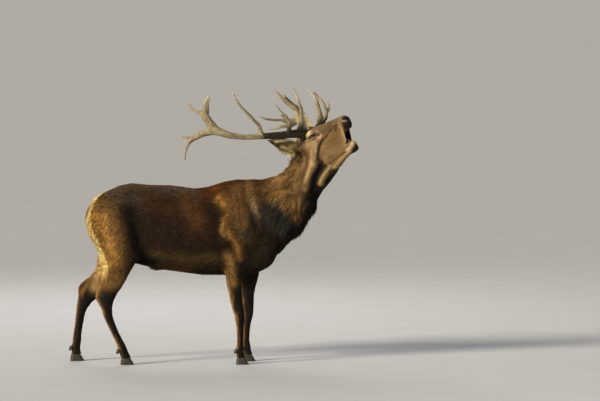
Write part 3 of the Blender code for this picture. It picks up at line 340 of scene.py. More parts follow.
# ---------------------------------------------------------------- materials
def surface(name, roughness, specular=0.5, coat=0.0):
    material = bpy.data.materials.new(name)
    material.use_nodes = True
    shader = material.node_tree.nodes["Principled BSDF"]
    shader.inputs["Roughness"].default_value = roughness
    shader.inputs["Specular IOR Level"].default_value = specular
    shader.inputs["Coat Weight"].default_value = coat
    return material, material.node_tree, shader


def link(tree, out, to):
    tree.links.new(out, to)


def attribute(tree, name, output="Color"):
    node = tree.nodes.new("ShaderNodeAttribute")
    node.attribute_name = name
    return node.outputs[output]


def grain(tree, scale, stretch=(1, 1, 1), detail=4.0):
    """Noise in metres: `scale` waves in one metre."""
    place = tree.nodes.new("ShaderNodeTexCoord")
    mapping = tree.nodes.new("ShaderNodeMapping")
    mapping.inputs["Scale"].default_value = stretch
    pattern = tree.nodes.new("ShaderNodeTexNoise")
    pattern.inputs["Scale"].default_value = scale
    pattern.inputs["Detail"].default_value = detail
    link(tree, place.outputs["Object"], mapping.inputs["Vector"])
    link(tree, mapping.outputs["Vector"], pattern.inputs["Vector"])
    return pattern.outputs["Fac"]


def spread(tree, value, low, high, start=0.3, end=0.7):
    node = tree.nodes.new("ShaderNodeMapRange")
    for socket, number in (("From Min", start), ("From Max", end), ("To Min", low), ("To Max", high)):
        node.inputs[socket].default_value = number
    link(tree, value, node.inputs["Value"])
    return node.outputs["Result"]


def mixed(tree, kind, factor, first, second):
    """Colour mix; each input is a socket, a number or a colour."""
    node = tree.nodes.new("ShaderNodeMix")
    node.data_type = "RGBA"
    node.blend_type = kind
    for socket, value in ((node.inputs["Factor"], factor), (node.inputs[6], first), (node.inputs[7], second)):
        if isinstance(value, bpy.types.NodeSocket):
            link(tree, value, socket)
        else:
            socket.default_value = value
    return node.outputs[2]


def coloured(tree, shader, colour, *speckles):
    """The base colour, lightened and darkened by noise (waves in one metre, low, high, detail)."""
    for waves, low, high, detail in speckles:
        factor = spread(tree, grain(tree, waves, detail=detail), low, high)
        colour = mixed(tree, "MULTIPLY", 1.0, colour, factor)
    link(tree, colour, shader.inputs["Base Color"])


def marbled(tree, waves, first, second):
    """Noise between two colours."""
    return mixed(tree, "MIX", spread(tree, grain(tree, waves), 0.0, 1.0), (*first, 1), (*second, 1))


def bumped(tree, shader, height, distance, strength=1.0):
    bump = tree.nodes.new("ShaderNodeBump")
    bump.inputs["Distance"].default_value = distance
    bump.inputs["Strength"].default_value = strength
    link(tree, height, bump.inputs["Height"])
    link(tree, bump.outputs["Normal"], shader.inputs["Normal"])


def coat_material():
    material, tree, shader = surface("coat", 0.86, 0.12)
    coloured(tree, shader, attribute(tree, "tone"), (160, 0.82, 1.18, 4))
    bumped(tree, shader, grain(tree, 2600, detail=2.0), 0.0004, 0.5)
    return material


def skin_material():
    material, tree, shader = surface("skin", 0.85, 0.14)
    coloured(tree, shader, attribute(tree, "tone"), (420, 0.72, 1.12, 4))
    link(tree, spread(tree, attribute(tree, "wet", "Fac"), 0.85, 0.36, 0.0, 1.0), shader.inputs["Roughness"])
    bumped(tree, shader, grain(tree, 900, (1, 1, 0.35)), 0.0012, 0.6)
    return material


def antler_material():
    material, tree, shader = surface("antler", 0.6, 0.25)
    coloured(tree, shader, attribute(tree, "tone"), (130, 0.7, 1.2, 4), (900, 0.88, 1.1, 3))
    link(tree, spread(tree, grain(tree, 60), 0.5, 0.72), shader.inputs["Roughness"])
    bumped(tree, shader, grain(tree, 700), 0.0006, 0.6)
    return material


def horn_material():
    material, tree, shader = surface("hoof", 0.42, 0.5)
    rings = grain(tree, 70, (0.2, 0.2, 3.0))
    banded = spread(tree, rings, 0.0, 1.0)
    dark = mixed(tree, "MIX", banded, (0.018, 0.015, 0.012, 1), (0.05, 0.041, 0.032, 1))
    dust = spread(tree, grain(tree, 35), 0.0, 0.35, 0.5, 0.8)
    coloured(tree, shader, mixed(tree, "MIX", dust, dark, (0.16, 0.13, 0.09, 1)))
    bumped(tree, shader, rings, 0.001, 0.6)
    return material


def eye_material():
    material, tree, shader = surface("eye", 0.08, 0.5, coat=0.35)
    coloured(tree, shader, attribute(tree, "tone"), (900, 0.75, 1.2, 4))
    return material


def moist_material():
    material, tree, shader = surface("tongue", 0.3, 0.5, coat=0.3)
    coloured(tree, shader, marbled(tree, 220, (0.16, 0.05, 0.045), (0.3, 0.12, 0.105)))
    bumped(tree, shader, grain(tree, 1400), 0.0006, 0.7)
    return material


def tooth_material():
    material, tree, shader = surface("teeth", 0.3, 0.5)
    coloured(tree, shader, marbled(tree, 260, (0.58, 0.5, 0.34), (0.72, 0.66, 0.52)))
    return material


# ---------------------------------------------------------------- the skin: fused, evened, given its relief
skin = fused("skin", FLESH, SKIN_VOXEL)


def in_head(points):
    """Points of the stag's frame as (fore, left, up) of the head."""
    off = points - HEAD_AT
    return np.stack([off @ FORE, off @ LEFT, off @ UP], axis=1)


FACE_PATH = [(0.28, 0, -0.14), (0.16, 0, -0.17), (0.075, 0, -0.15), (-0.035, 0, -0.31)]
BROW_PATH = [(0.31, 0, -0.05), (0, 0, -0.03)]


def head_share(q):
    """1 on the head and jaws, 0 on the neck, with a smooth passage behind the last fold."""
    h = in_head(q) * (1, 0, 1)
    face, _ = distance_to(h, FACE_PATH)
    brow, _ = distance_to(h, BROW_PATH)
    share = np.maximum(rise(face, 0.155, 0.115), rise(brow, 0.12, 0.085))
    return share * rise(np.linalg.norm(q - HEAD_AT, axis=1), 0.5, 0.45) * rise(q[:, 2], 1.12, 1.2)


EAR_ROOTS = {"right": head(-0.075, -0.085, -0.07), "left": head(-0.062, 0.1, -0.025)}


def ear_axis(word):
    return unit(box_middle("ear_" + word) - ORIGIN - EAR_ROOTS[word])


def ear_share(q):
    """1 on the two ears, from a little above their roots."""
    share = np.zeros(len(q))
    for word, root in EAR_ROOTS.items():
        axis = ear_axis(word)
        along = (q - root) @ axis
        aside = np.linalg.norm(q - root - along[:, None] * axis, axis=1)
        own = rise(along, 0.0, 0.03) * rise(aside, 0.085, 0.065) * rise(along, 0.26, 0.24)
        share = np.maximum(share, own)
    return share


def leg_share(q):
    return rise(q[:, 2], 0.66, 0.54)


def even_out(mesh):
    """Rounds the facets of the solids: most on the trunk, least on the head, ears and legs."""
    co = read_points(mesh)
    edges = read_edges(mesh)
    q = co - ORIGIN
    legs = leg_share(q)
    calm = 1 - np.maximum.reduce([head_share(q), legs, ear_share(q)])
    for step in range(EVEN_STEPS):
        weight = 0.85 * calm
        if step < EVEN_LEG_STEPS:
            everywhere = 0.3 if step < EVEN_FACE_STEPS else 0.0
            weight = np.maximum(everywhere + 0.62 * calm, 0.25 * legs)
        co = averaged(co, edges, 1, np.clip(weight, 0, 0.9))
    write_points(mesh, co)


even_out(skin.data)

# The tables of relief and of marks give their paths, radii and heights in millimetres.
# folds and hollows of the face seen from its side: (path of (fore, up), radius, height)
SIDE_RELIEF = [
    ([(124, -78), (103, -93), (85, -111), (72, -134), (56, -158), (40, -183), (32, -203)], 6.8, -9.2),
    ([(46, -228), (31, -246), (10, -267), (-14, -291), (-40, -318), (-62, -355)], 17.5, -16.5),
    ([(251, -21), (214, -29), (188, -44), (167, -58), (141, -74), (122, -84)], 6, -3),
    ([(190, -90), (150, -135), (100, -180)], 36, 8.5),
    ([(130, -195), (94, -212), (82, -232)], 23, 8),
    ([(58, -90), (39, -127), (21, -157), (7, -182)], 22, 8),
    ([(8, -188), (-4, -209), (-28, -234), (-53, -267), (-71, -294), (-90, -329), (-98, -345)], 18.5, 10.5),
    ([(-34, -122), (-47, -167), (-55, -198), (-65, -222), (-80, -252)], 8.5, -7),
    ([(-85, -150), (-130, -250)], 15, 5),
    ([(262, -220), (240, -230), (188, -249), (150, -264), (112, -283)], 11, 6.5),
    ([(90, -269), (67, -282), (36, -299), (12, -318), (-8, -339), (-18, -352)], 15, 10),
    ([(73, -294), (60, -309)], 6, -5.5),
    ([(254, -215), (211, -219), (167, -229), (130, -240), (95, -252)], 4.5, -3.2),
    ([(250, -30), (247, -90), (240, -150)], 8, -3),
    ([(150, -118), (205, -116), (235, -116)], 8, -2),
]
# lids, gland, nostrils and lips: (path in the head's frame on its left side, radius, height)
HEAD_RELIEF = [
    ([(20, 74, -24), (36, 78, -6), (62, 78, -1), (92, 66, -14)], 8.5, 4.6),
    ([(34, 78, -54), (60, 78, -60), (90, 68, -54)], 11, 5.8),
    ([(103, 61, -37), (114, 59, -37)], 5.5, -7),
    ([(150, 46, 4), (220, 42, -4), (285, 40, -10)], 12, -2.8),
    ([(300, 40, -14), (322, 34, -16)], 10, 3.5),
    ([(328, 22.5, -30), (336, 15, -34)], 5.2, -12),
    ([(318, 30, -22), (330, 22, -26)], 4.8, -7),
    ([(318, 33, -36), (334, 20, -46)], 6, 2.6),
    ([(290, 41, -10), (284, 43, -60), (283, 43, -110), (278, 43, -145)], 8, 4.2),
    ([(262, 38, -176), (298, 32, -168), (310, 18, -168), (313, 0, -168)], 8, 3.6),
    ([(268, 38, -196), (294, 35, -194), (308, 22, -194)], 7, -3),
    ([(300, 20, -222), (314, 0, -216)], 14, 4),
]
# the long muscles and hollows of the body: (path of (x, z) seen from the side, radius, height)
BODY_RELIEF = [
    ([(280, 1090), (300, 880), (334, 780)], 28, 10),
    ([(258, 1060), (232, 950), (244, 890)], 18, 7),
    ([(196, 1050), (190, 940), (206, 840)], 22, -5),
    ([(300, 830), (272, 760)], 30, -7),
    ([(380, 1180), (420, 1060), (455, 940)], 26, -6.5),
    ([(410, 1214), (437, 1092), (462, 1010)], 12, 5.5),
    ([(500, 1130), (520, 1000), (510, 880)], 20, -5),
    ([(335, 1200), (350, 1100), (372, 960)], 22, 5.5),
    ([(-380, 1060), (-350, 960), (-320, 860)], 50, -16),
    ([(-300, 860), (-345, 760), (-400, 700)], 22, 6),
    ([(-470, 1100), (-440, 1000), (-380, 860)], 40, 7),
    ([(-560, 1060), (-590, 940), (-570, 820), (-560, 700)], 30, -6),
    ([(-620, 1020), (-650, 900), (-620, 790)], 30, 6),
    ([(-250, 760), (-120, 720), (60, 700)], 30, -5),
]
RIB_PITCH = 0.062
RIB_HEIGHT = 0.0012
BAND_HEIGHT = 0.004              # of the long, flat bands of hair on the neck


def pressed(lift, points, table, share=1.0):
    """The lift with all the folds of a table (path, radius, height) added."""
    for path, radius, height in table:
        lift = lift + metres(height) * near(points, path, radius) * share
    return lift


def relief(mesh):
    """Moves the skin along its normals by all the folds, muscles and hollows."""
    co = read_points(mesh)
    normal = read_normals(mesh)
    q = co - ORIGIN
    x, y, z = q.T
    lift = np.zeros(len(q))
    body = 1 - head_share(q)
    face = np.nonzero(head_share(q) > 0.01)[0]
    h = in_head(q[face])
    for side in (-1, 1):
        lift[face] = pressed(lift[face], h * (1, side, 1), HEAD_RELIEF)
    sideways = rise(np.abs(normal[face] @ LEFT), 0.1, 0.5) * head_share(q[face])
    lift[face] = pressed(lift[face], h[:, [0, 2]], SIDE_RELIEF, sideways)
    outer = rise(np.abs(y), 0.06, 0.11) * rise(z, 0.6, 0.68) * body
    lift = pressed(lift, q[:, [0, 2]], BODY_RELIEF, outer)
    ribs = np.cos(2 * math.pi * (x + 0.22 * (z - 0.9)) / RIB_PITCH)
    cage = rise(x, -0.28, -0.16) * rise(x, 0.2, 0.1) * rise(z, 0.72, 0.82) * rise(z, 1.12, 1.02)
    lift += RIB_HEIGHT * ribs * cage
    bands = noise(q, np.array((0.05, 0.05, 0.16)), 3)
    lift += BAND_HEIGHT * bands * rise(x, 0.45, 0.6) * body * rise(z, 0.62, 0.75)
    write_points(mesh, co + normal * lift[:, None])


relief(skin.data)


# ---------------------------------------------------------------- coat depth
def mane_share(q):
    """1 where the long hair of the neck and throat grows."""
    crest = rise(q[:, 0] + 0.35 * (q[:, 2] - 1.2), 0.42, 0.56)
    return crest * (1 - head_share(q)) * rise(q[:, 2], 0.7, 0.86) * (1 - ear_share(q))


def coat_depth(q):
    """How far the skin lies inside the tips of the hair."""
    tail = rise(q[:, 0], -0.64, -0.69) * rise(q[:, 2], 0.92, 0.95) * rise(np.abs(q[:, 1]), 0.06, 0.04)
    return layered(0.0075 + 0.01 * mane_share(q), (head_share(q), 0.0022), (leg_share(q), 0.003),
                   (ear_share(q), 0.0006), (tail, 0.008))


def sink(mesh):
    """Takes the skin in by the depth of the coat."""
    co = read_points(mesh)
    normal = read_normals(mesh)
    edges = read_edges(mesh)
    depth = averaged(coat_depth(co - ORIGIN), edges, DEPTH_PASSES)
    write_points(mesh, co - normal * depth[:, None])


sink(skin.data)


def thin_out(ob, triangles):
    """Keeps about that many triangles, the head's and ears' the finest."""
    ob.modifiers.new("whole", "TRIANGULATE")
    settle(ob)
    q = read_points(ob.data) - ORIGIN
    care = 1 - 0.93 * np.maximum(head_share(q), ear_share(q))
    group = ob.vertex_groups.new(name="care")
    levels = np.round(care * CARE_LEVELS).astype(int)
    for level in np.unique(levels):
        group.add(np.nonzero(levels == level)[0].tolist(), level / CARE_LEVELS, "REPLACE")
    modifier = ob.modifiers.new("thin", "DECIMATE")
    modifier.ratio = triangles / len(ob.data.polygons)
    modifier.vertex_group = "care"
    modifier.vertex_group_factor = 1.0
    settle(ob)
    ob.vertex_groups.clear()


thin_out(skin, SKIN_TRIANGLES)



def left_half(h):
    """Points of the head as if all of it were its left half."""
    return h * (1, 0, 1) + (0, 1, 0) * np.abs(h[:, 1:2])


# ---------------------------------------------------------------- fields on the skin
bpy.context.view_layer.objects.active = skin
skin.select_set(True)
bpy.ops.object.mode_set(mode="EDIT")
bpy.ops.mesh.select_all(action="SELECT")
bpy.ops.uv.smart_project(angle_limit=math.radians(66), island_margin=0.0008)
bpy.ops.object.mode_set(mode="OBJECT")
skin.data.uv_layers[0].name = "OFBake"

POINTS = read_points(skin.data)
NORMALS = read_normals(skin.data)
EDGES = read_edges(skin.data)
Q = POINTS - ORIGIN
H = in_head(Q)
SIDE_VIEW, FACE_VIEW = Q[:, [0, 2]], H[:, [0, 2]]
LEFT_HALF = left_half(H)
SIDE = np.sign(H[:, 1])
HEADNESS = head_share(Q)
EARNESS = ear_share(Q)
LEGNESS = leg_share(Q)
MANE = mane_share(Q)
TAILNESS = (nearest_node(POINTS, FLESH) == FLESH.index("tail")).astype(float)
TAILNESS = averaged(TAILNESS, EDGES, 6)


def mouth_share(h):
    """1 on the walls of the open mouth."""
    between_lips = rise(h[:, 2], -0.165, -0.16) * rise(h[:, 2], -0.071, -0.076)
    inside = rise(np.abs(h[:, 1]), 0.0405, 0.037) * between_lips
    return inside * rise(h[:, 0], 0.318, 0.3) * rise(h[:, 0], 0.1, 0.12)


def nose_share(h):
    """1 on the bare, wet nose pad and the lip below it."""
    front = rise(h[:, 0] - 0.16 * h[:, 2], 0.3, 0.309) * rise(h[:, 2], -0.092, -0.086)
    return front * rise(h[:, 2], 0.013, 0.005) * rise(np.abs(h[:, 1]), 0.05, 0.045)


def eye_share(h, inner, outer):
    """1 close to an eye's centre."""
    gap = np.linalg.norm(left_half(h) - EYE, axis=1)
    return rise(gap, outer, inner)


MOUTH = mouth_share(H)
NOSE = nose_share(H)
BARE = np.maximum.reduce([MOUTH, NOSE, eye_share(H, 0.0205, 0.0225)])
SOLE = rise(Q[:, 2], 0.052, 0.049)


def along_ear():
    """For each point, how far out along the near ear it lies and how high above the ear's axis."""
    axis = ear_axis("right")
    off = Q - EAR_ROOTS["right"]
    out = off @ axis
    return np.stack([out, (off - out[:, None] * axis)[:, 2]], axis=1)


EAR_LOCK = np.array((0.697, -0.098, 1.452))      # where a long cream lock hangs from the near ear
EAR_PLACE = along_ear()
EAR_EDGE = rise(EAR_PLACE[:, 1], -0.016, -0.026)
EAR_FRINGE = EARNESS * (SIDE == -1) * EAR_EDGE * rise(EAR_PLACE[:, 0], 0.13, 0.1)
EAR_HANG = EARNESS * rise(np.linalg.norm(Q - EAR_LOCK, axis=1), 0.02, 0.015)


def lie_field():
    """The way the hair lies, laid flat on the skin."""
    x, _, z = Q.T
    lie = layered(
        np.tile((-0.92, 0.0, -0.4), (len(Q), 1)),
        (rise(NORMALS[:, 2], 0.45, 0.85), (-1, 0, -0.05)),
        (rise(NORMALS[:, 2], -0.4, -0.8), (-1, 0, 0.0)),
        (rise(x, -0.36, -0.5) * rise(z, 1.12, 0.95), (-0.5, 0, -0.87)),
        (rise(x, -0.58, -0.68), (-0.25, 0, -0.97)),
        (rise(x, 0.18, 0.3) * rise(z, 1.1, 0.9), (-0.45, 0, -0.9)),
        (rise(x, 0.42, 0.56), (-0.52, 0, -0.86)),
        (rise(x, 0.3, 0.42) * rise(z, 1.12, 1.2), (-0.92, 0, -0.38)),
        (rise(z, 0.72, 0.58), (-0.12, 0, -1.0)),
        (HEADNESS, -FORE - 0.22 * UP * rise(H[:, 2], 0.0, -0.08)[:, None]),
        (TAILNESS, (-0.35, 0, -0.94)),
        (EARNESS * (SIDE == -1), ear_axis("right")),
        (EARNESS * (SIDE == 1), ear_axis("left")),
        (EAR_FRINGE * 0.7, (-0.25, -0.1, -1.0)),
        (EAR_HANG, (-0.15, -0.05, -1.0)))
    sway = np.stack([noise(Q, 0.055, s) for s in (1, 2, 3)], axis=1)
    lie = unit(lie) + sway * (0.2 + 0.2 * MANE)[:, None]
    return unit(lie - NORMALS * (lie * NORMALS).sum(1, keepdims=True))


LIE = lie_field()

# ---------------------------------------------------------------- coat colours, with painted light and shade
BACK = (0.084, 0.062, 0.043)
RED_BROWN = (0.062, 0.019, 0.005)
RUST = (0.235, 0.092, 0.02)
OCHRE = (0.42, 0.225, 0.055)
FLANK = (0.025, 0.014, 0.007)
FLANK_RED = (0.056, 0.023, 0.01)
LOW_FLANK = (0.066, 0.045, 0.015)
# near black, for painted shade in the hollows and grooves of the body
GROOVE_SHADE = (0.009, 0.006, 0.0035)
BLACK = (0.005, 0.004, 0.003)
# tan of the painted highlight on the lit rear edges of the legs
LIT = (0.34, 0.175, 0.048)
SHOULDER = (0.205, 0.11, 0.041)
MANE_TAN = (0.262, 0.152, 0.056)
MANE_DARK = (0.054, 0.047, 0.037)
# the chest's own dark hair, darkened further as painted shade
CHEST_DARK = (0.06, 0.042, 0.022)
CREAM = (0.86, 0.62, 0.26)
TAN = (0.18, 0.11, 0.048)
LIP = (0.52, 0.41, 0.25)
FOREHEAD = (0.15, 0.108, 0.064)
PINKISH = (0.4, 0.24, 0.155)
LEG_BROWN = (0.068, 0.039, 0.016)
LEG_DARK = (0.012, 0.009, 0.007)

# (path of (x, z) seen from the side, radius, colour, strength)
BODY_MARKS = [
    ([(-560, 1215), (-300, 1230), (50, 1200)], 55, BACK, 0.9),
    ([(-550, 1140), (-460, 1120), (-360, 1110)], 62, BACK, 0.75),
    ([(-460, 1040), (-440, 950)], 50, (0.062, 0.036, 0.019), 0.8),
    ([(-270, 1110), (-140, 1060)], 50, FLANK_RED, 0.75),
    ([(-20, 1100), (60, 980)], 60, (0.12, 0.052, 0.02), 0.7),
    ([(110, 1190), (260, 1200), (400, 1200)], 62, RED_BROWN, 0.95),
    ([(185, 1190), (225, 1150)], 40, RUST, 0.34),
    ([(212, 1125), (240, 1095)], 28, OCHRE, 0.75),
    ([(300, 1130), (325, 1000), (335, 930)], 42, (0.11, 0.05, 0.016), 0.85),
    # the haunch's own ochre, brightened towards the rump by painted light falling from behind
    ([(-560, 1050), (-505, 930), (-480, 820), (-490, 700)], 64, (0.185, 0.103, 0.036), 0.9),
    ([(-636, 1040), (-612, 950), (-575, 860), (-535, 760), (-535, 660)], 60, OCHRE, 0.95),
    ([(-575, 990), (-548, 900), (-530, 800)], 44, (0.48, 0.262, 0.078), 0.88),
    ([(-570, 1100), (-600, 1070)], 34, (0.105, 0.06, 0.026), 0.8),
    ([(-605, 900), (-570, 825)], 10, (0.06, 0.033, 0.012), 0.6),
    # painted shade in the hollow in front of the thigh
    ([(-405, 1060), (-385, 960), (-365, 860)], 58, GROOVE_SHADE, 0.95),
    ([(330, 1140), (360, 1020), (375, 900)], 78, SHOULDER, 0.75),
    ([(-240, 755), (0, 725), (170, 730)], 36, LOW_FLANK, 0.9),
    # painted shade along the underside of the belly and in the groin
    ([(-240, 650), (0, 615), (300, 600), (460, 620)], 24, BLACK, 0.95),
    ([(-345, 790), (-300, 735), (-240, 690)], 42, BLACK, 1.0),
    # painted shade beside the shoulder's ridge and in the groove in front of the shoulder
    ([(315, 1150), (345, 1060), (352, 950)], 12, GROOVE_SHADE, 0.45),
    ([(412, 1120), (432, 1030), (446, 930)], 18, GROOVE_SHADE, 0.85),
    # painted highlight: pale streaks on the crests of the shoulder and elbow muscles, where the light falls
    ([(268, 1100), (262, 1020), (238, 955), (244, 905)], 21, (0.27, 0.125, 0.034), 0.66),
    ([(226, 985), (220, 930), (234, 890)], 12, (0.4, 0.245, 0.08), 0.75),
    ([(262, 905), (296, 870), (322, 815), (340, 765), (338, 735)], 21, (0.33, 0.165, 0.047), 0.95),
    ([(388, 1020), (378, 950), (386, 885)], 17, (0.23, 0.13, 0.045), 0.75),
    ([(405, 1210), (435, 1140), (445, 1080)], 34, (0.205, 0.125, 0.055), 0.85),
    ([(436, 1100), (456, 1045), (472, 1012)], 8.5, (0.46, 0.32, 0.17), 0.75),
    # painted shade between the foreleg and the chest
    ([(205, 790), (225, 750), (270, 735)], 22, BLACK, 0.85),
    ([(188, 770), (184, 735), (200, 712)], 8, (0.11, 0.08, 0.045), 0.7),
    ([(510, 1020), (575, 980)], 70, MANE_DARK, 0.9),
    # dark chest: its own dark hair, and painted shade on the front that faces away from the light
    ([(400, 900), (500, 800), (440, 700)], 75, CHEST_DARK, 0.92),
    # painted highlight at the top of the lit rear edge of the forearm
    ([(252, 760), (266, 700)], 24, (0.25, 0.136, 0.046), 0.9),
]
RUMP_RIM = [(-565, 1190), (-626, 1154), (-674, 1100), (-691, 1030), (-688, 970), (-671, 910), (-648, 862),
            (-613, 772), (-590, 700), (-590, 650)]
# how low the tan of the neck reaches, at each x
TAN_X = (0.42, 0.49, 0.61, 0.65, 0.7, 0.74)
TAN_LOW = (1.15, 1.13, 1.12, 1.07, 1.01, 1.0)
# streaks and edges of the legs: (which legs, path of (x, z) seen from the side, radius, colour, strength)
LEG_MARKS = [
    # painted highlight on the lit rear of the near forearm
    ("near", [(262, 740), (284, 680), (290, 620), (298, 560)], 30, (0.31, 0.172, 0.058), 0.88),
    ("near", [(-585, 455), (-548, 400), (-540, 350)], 24, LEG_DARK, 0.9),
    # painted highlight on the rear edge of the far hind leg
    ("far", [(-640, 600), (-690, 560), (-742, 470)], 12, LIT, 0.7),
    # the far hind leg's pale inner thigh, brightened as painted light
    ("far", [(-618, 730), (-628, 600), (-656, 505)], 30, (0.64, 0.43, 0.18), 0.92),
    ("near", [(-606, 745), (-585, 700), (-566, 655), (-584, 612)], 22, CREAM, 0.9),
]


def legs_tone(tone):
    """Painted highlight of tan along the rear edges of the legs, where the light falls from behind; near
    black down their fronts and inner sides, partly their own dark hair and partly painted shade.
    """
    x, y, z = Q.T
    leg = rise(z, 0.7, 0.57)
    hind = rise(x, 0.05, -0.05)
    near_side = rise(y, 0.0, -0.03)
    far_side = 1 - near_side
    thigh = hind * leg * rise(z, 0.46, 0.56) * rise(NORMALS[:, 1] * np.sign(y), -0.25, 0.15)
    ragged = NORMALS[:, 0] + 0.16 * noise(Q, np.array((0.02, 0.02, 0.05)), 12)
    tone = layered(
        tone,
        (leg, LEG_BROWN),
        (thigh * rise(NORMALS[:, 0], 0.72, 0.3), (0.23, 0.125, 0.038)),
        # near black where the leg does not face back: its own dark hair, and painted shade
        (leg * rise(ragged, -0.4, -0.05) * (1 - thigh), LEG_DARK),
        # painted shade on the far legs
        (leg * far_side * (1 - thigh) * 0.6, LEG_DARK),
        # painted highlight along the rear edges, where the light falls from behind
        (leg * rise(ragged, -0.4, -0.66) * (0.85 * near_side + 0.45 * far_side), LIT))
    for legs, *row in LEG_MARKS:
        tone = painted(tone, SIDE_VIEW, [row], near_side if legs == "near" else far_side)
    return blend(tone, rise(z, 0.11, 0.07) * 0.7, LEG_DARK)


def rump_tone(tone):
    """The cream patch round the tail, a narrow rim when seen from the side."""
    x, _, z = Q.T
    behind = rise(NORMALS[:, 0], -0.7, -0.9) * rise(x, -0.575, -0.62)
    patch = behind * rise(z, 0.72, 0.8) * rise(z, 1.18, 1.12)
    gap, along = distance_to(SIDE_VIEW, metres(RUMP_RIM))
    wide = 0.021 + 0.006 * rise(along, 0.6, 0.85) - 0.006 * rise(along, 0.2, 0.0)
    rim = rise(gap, wide + 0.006, wide - 0.004) * rise(z, 0.6, 0.66) * rise(along, 0.0, 0.08)
    return layered(tone, (np.maximum(patch, rim) * (1 - TAILNESS), CREAM), (TAILNESS, (0.28, 0.165, 0.06)))


# painted highlight on the crests of the last fold and the lobes of the jaw, broad and even: (path of (fore,
# up), radius, colour, strength)
FOLD_HIGHLIGHTS = [
    ([(52, -100), (35, -128), (12, -160), (-6, -188)], 30, (0.29, 0.19, 0.106), 0.9),
    ([(-6, -188), (-15, -207), (-36, -231)], 26, (0.28, 0.184, 0.096), 0.95),
    ([(-36, -231), (-60, -264), (-77, -291), (-95, -326), (-104, -343)], 20.5, (0.24, 0.158, 0.076), 0.95),
    ([(262, -220), (240, -230), (188, -249), (150, -264), (112, -282)], 14, (0.4, 0.285, 0.14), 0.92),
    ([(92, -268), (67, -282), (36, -299), (12, -318), (-8, -339), (-18, -352)], 16, (0.31, 0.218, 0.104),
     0.94),
]
# colours of the face seen from its side: (path of (fore, up), radius, colour, strength)
FACE_MARKS = [
    ([(125, -20), (200, -4), (275, 4)], 30, FOREHEAD, 0.8),
    ([(130, -30), (165, -26), (200, -8)], 27, (0.088, 0.05, 0.025), 0.85),
    ([(175, -112), (222, -110), (226, -70)], 32, (0.15, 0.084, 0.031), 0.55),
    ([(215, -172), (161, -186), (111, -222), (90, -195), (112, -150)], 36, (0.25, 0.162, 0.072), 0.85),
    ([(-100, -150), (-135, -240)], 30, (0.2, 0.104, 0.047), 0.6),
    ([(-67, -158), (-85, -184)], 22, (0.29, 0.165, 0.1), 0.75),
    ([(-28, -58), (7, -78), (43, -76)], 24, (0.33, 0.232, 0.125), 0.8),
    ([(-46, -121), (-41, -98)], 13, (0.08, 0.038, 0.013), 0.85),
    ([(-5, -104), (-12, -150)], 16, (0.19, 0.112, 0.048), 0.7),
    # painted highlight along the lit rear slope of the last fold
    ([(14, -118), (-4, -160), (-26, -200), (-48, -235), (-74, -272), (-92, -300)], 8.5, (0.43, 0.32, 0.155),
     0.75),
    ([(72, -88), (60, -112), (45, -138)], 8, (0.44, 0.32, 0.18), 0.6),
    # painted shade in the crease behind the cheek
    ([(-34, -132), (-47, -167), (-55, -198), (-66, -224)], 8.5, (0.1, 0.038, 0.017), 0.8),
    # painted shade in the crease below the eye and on down the cheek
    ([(124, -78), (103, -93), (85, -111), (72, -134), (56, -158), (42, -183)], 7.4, (0.02, 0.011, 0.005),
     0.97),
    ([(42, -186), (34, -208)], 11, (0.045, 0.028, 0.014), 0.85),
    # painted shade in the groove along the side of the muzzle
    ([(251, -21), (214, -29), (188, -44), (167, -58), (141, -74), (122, -84)], 6, (0.06, 0.033, 0.013), 0.75),
    ([(252, -24), (240, -34), (232, -50)], 11, (0.05, 0.027, 0.01), 0.8),
    ([(200, -36), (190, -46)], 8, (0.036, 0.02, 0.008), 0.8),
    ([(160, -62), (146, -72)], 7.5, (0.036, 0.02, 0.008), 0.75),
    # painted shade in the small pit by the jaw
    ([(74, -293), (62, -308)], 6.5, (0.026, 0.015, 0.008), 0.85),
    # painted shade in the groove between the cheek and the jaw bar
    ([(254, -215), (211, -219), (167, -229), (130, -240), (100, -250)], 4.2, (0.09, 0.056, 0.026), 0.6),
    ([(6, -36), (20, -20), (38, -8), (62, 3)], 10.5, (0.7, 0.56, 0.29), 0.95),
    ([(72, 2), (86, -2), (97, -14)], 7.5, PINKISH, 0.85),
    ([(60, -60), (80, -56), (104, -58), (116, -46)], 13, (0.48, 0.31, 0.21), 0.85),
    ([(102, -38), (108, -37)], 6.2, BLACK, 1.0),
    ([(85, -28), (98, -33)], 4, (0.055, 0.032, 0.018), 0.8),
    ([(165, -105), (168, -108)], 4.5, (0.06, 0.034, 0.014), 0.7),
    ([(125, -140), (128, -143)], 5.5, (0.07, 0.04, 0.017), 0.6),
    ([(205, -130), (208, -133)], 4.5, (0.07, 0.04, 0.017), 0.55),
    ([(295, 8), (275, -13), (269, -58), (268, -95), (266, -127), (256, -169)], 9.5, (0.25, 0.172, 0.078),
     0.9),
    ([(282, -30), (279, -80), (277, -120), (272, -150)], 6, (0.46, 0.345, 0.2), 0.8),
    ([(307, -176), (286, -192), (256, -205)], 12.5, LIP, 0.95),
]
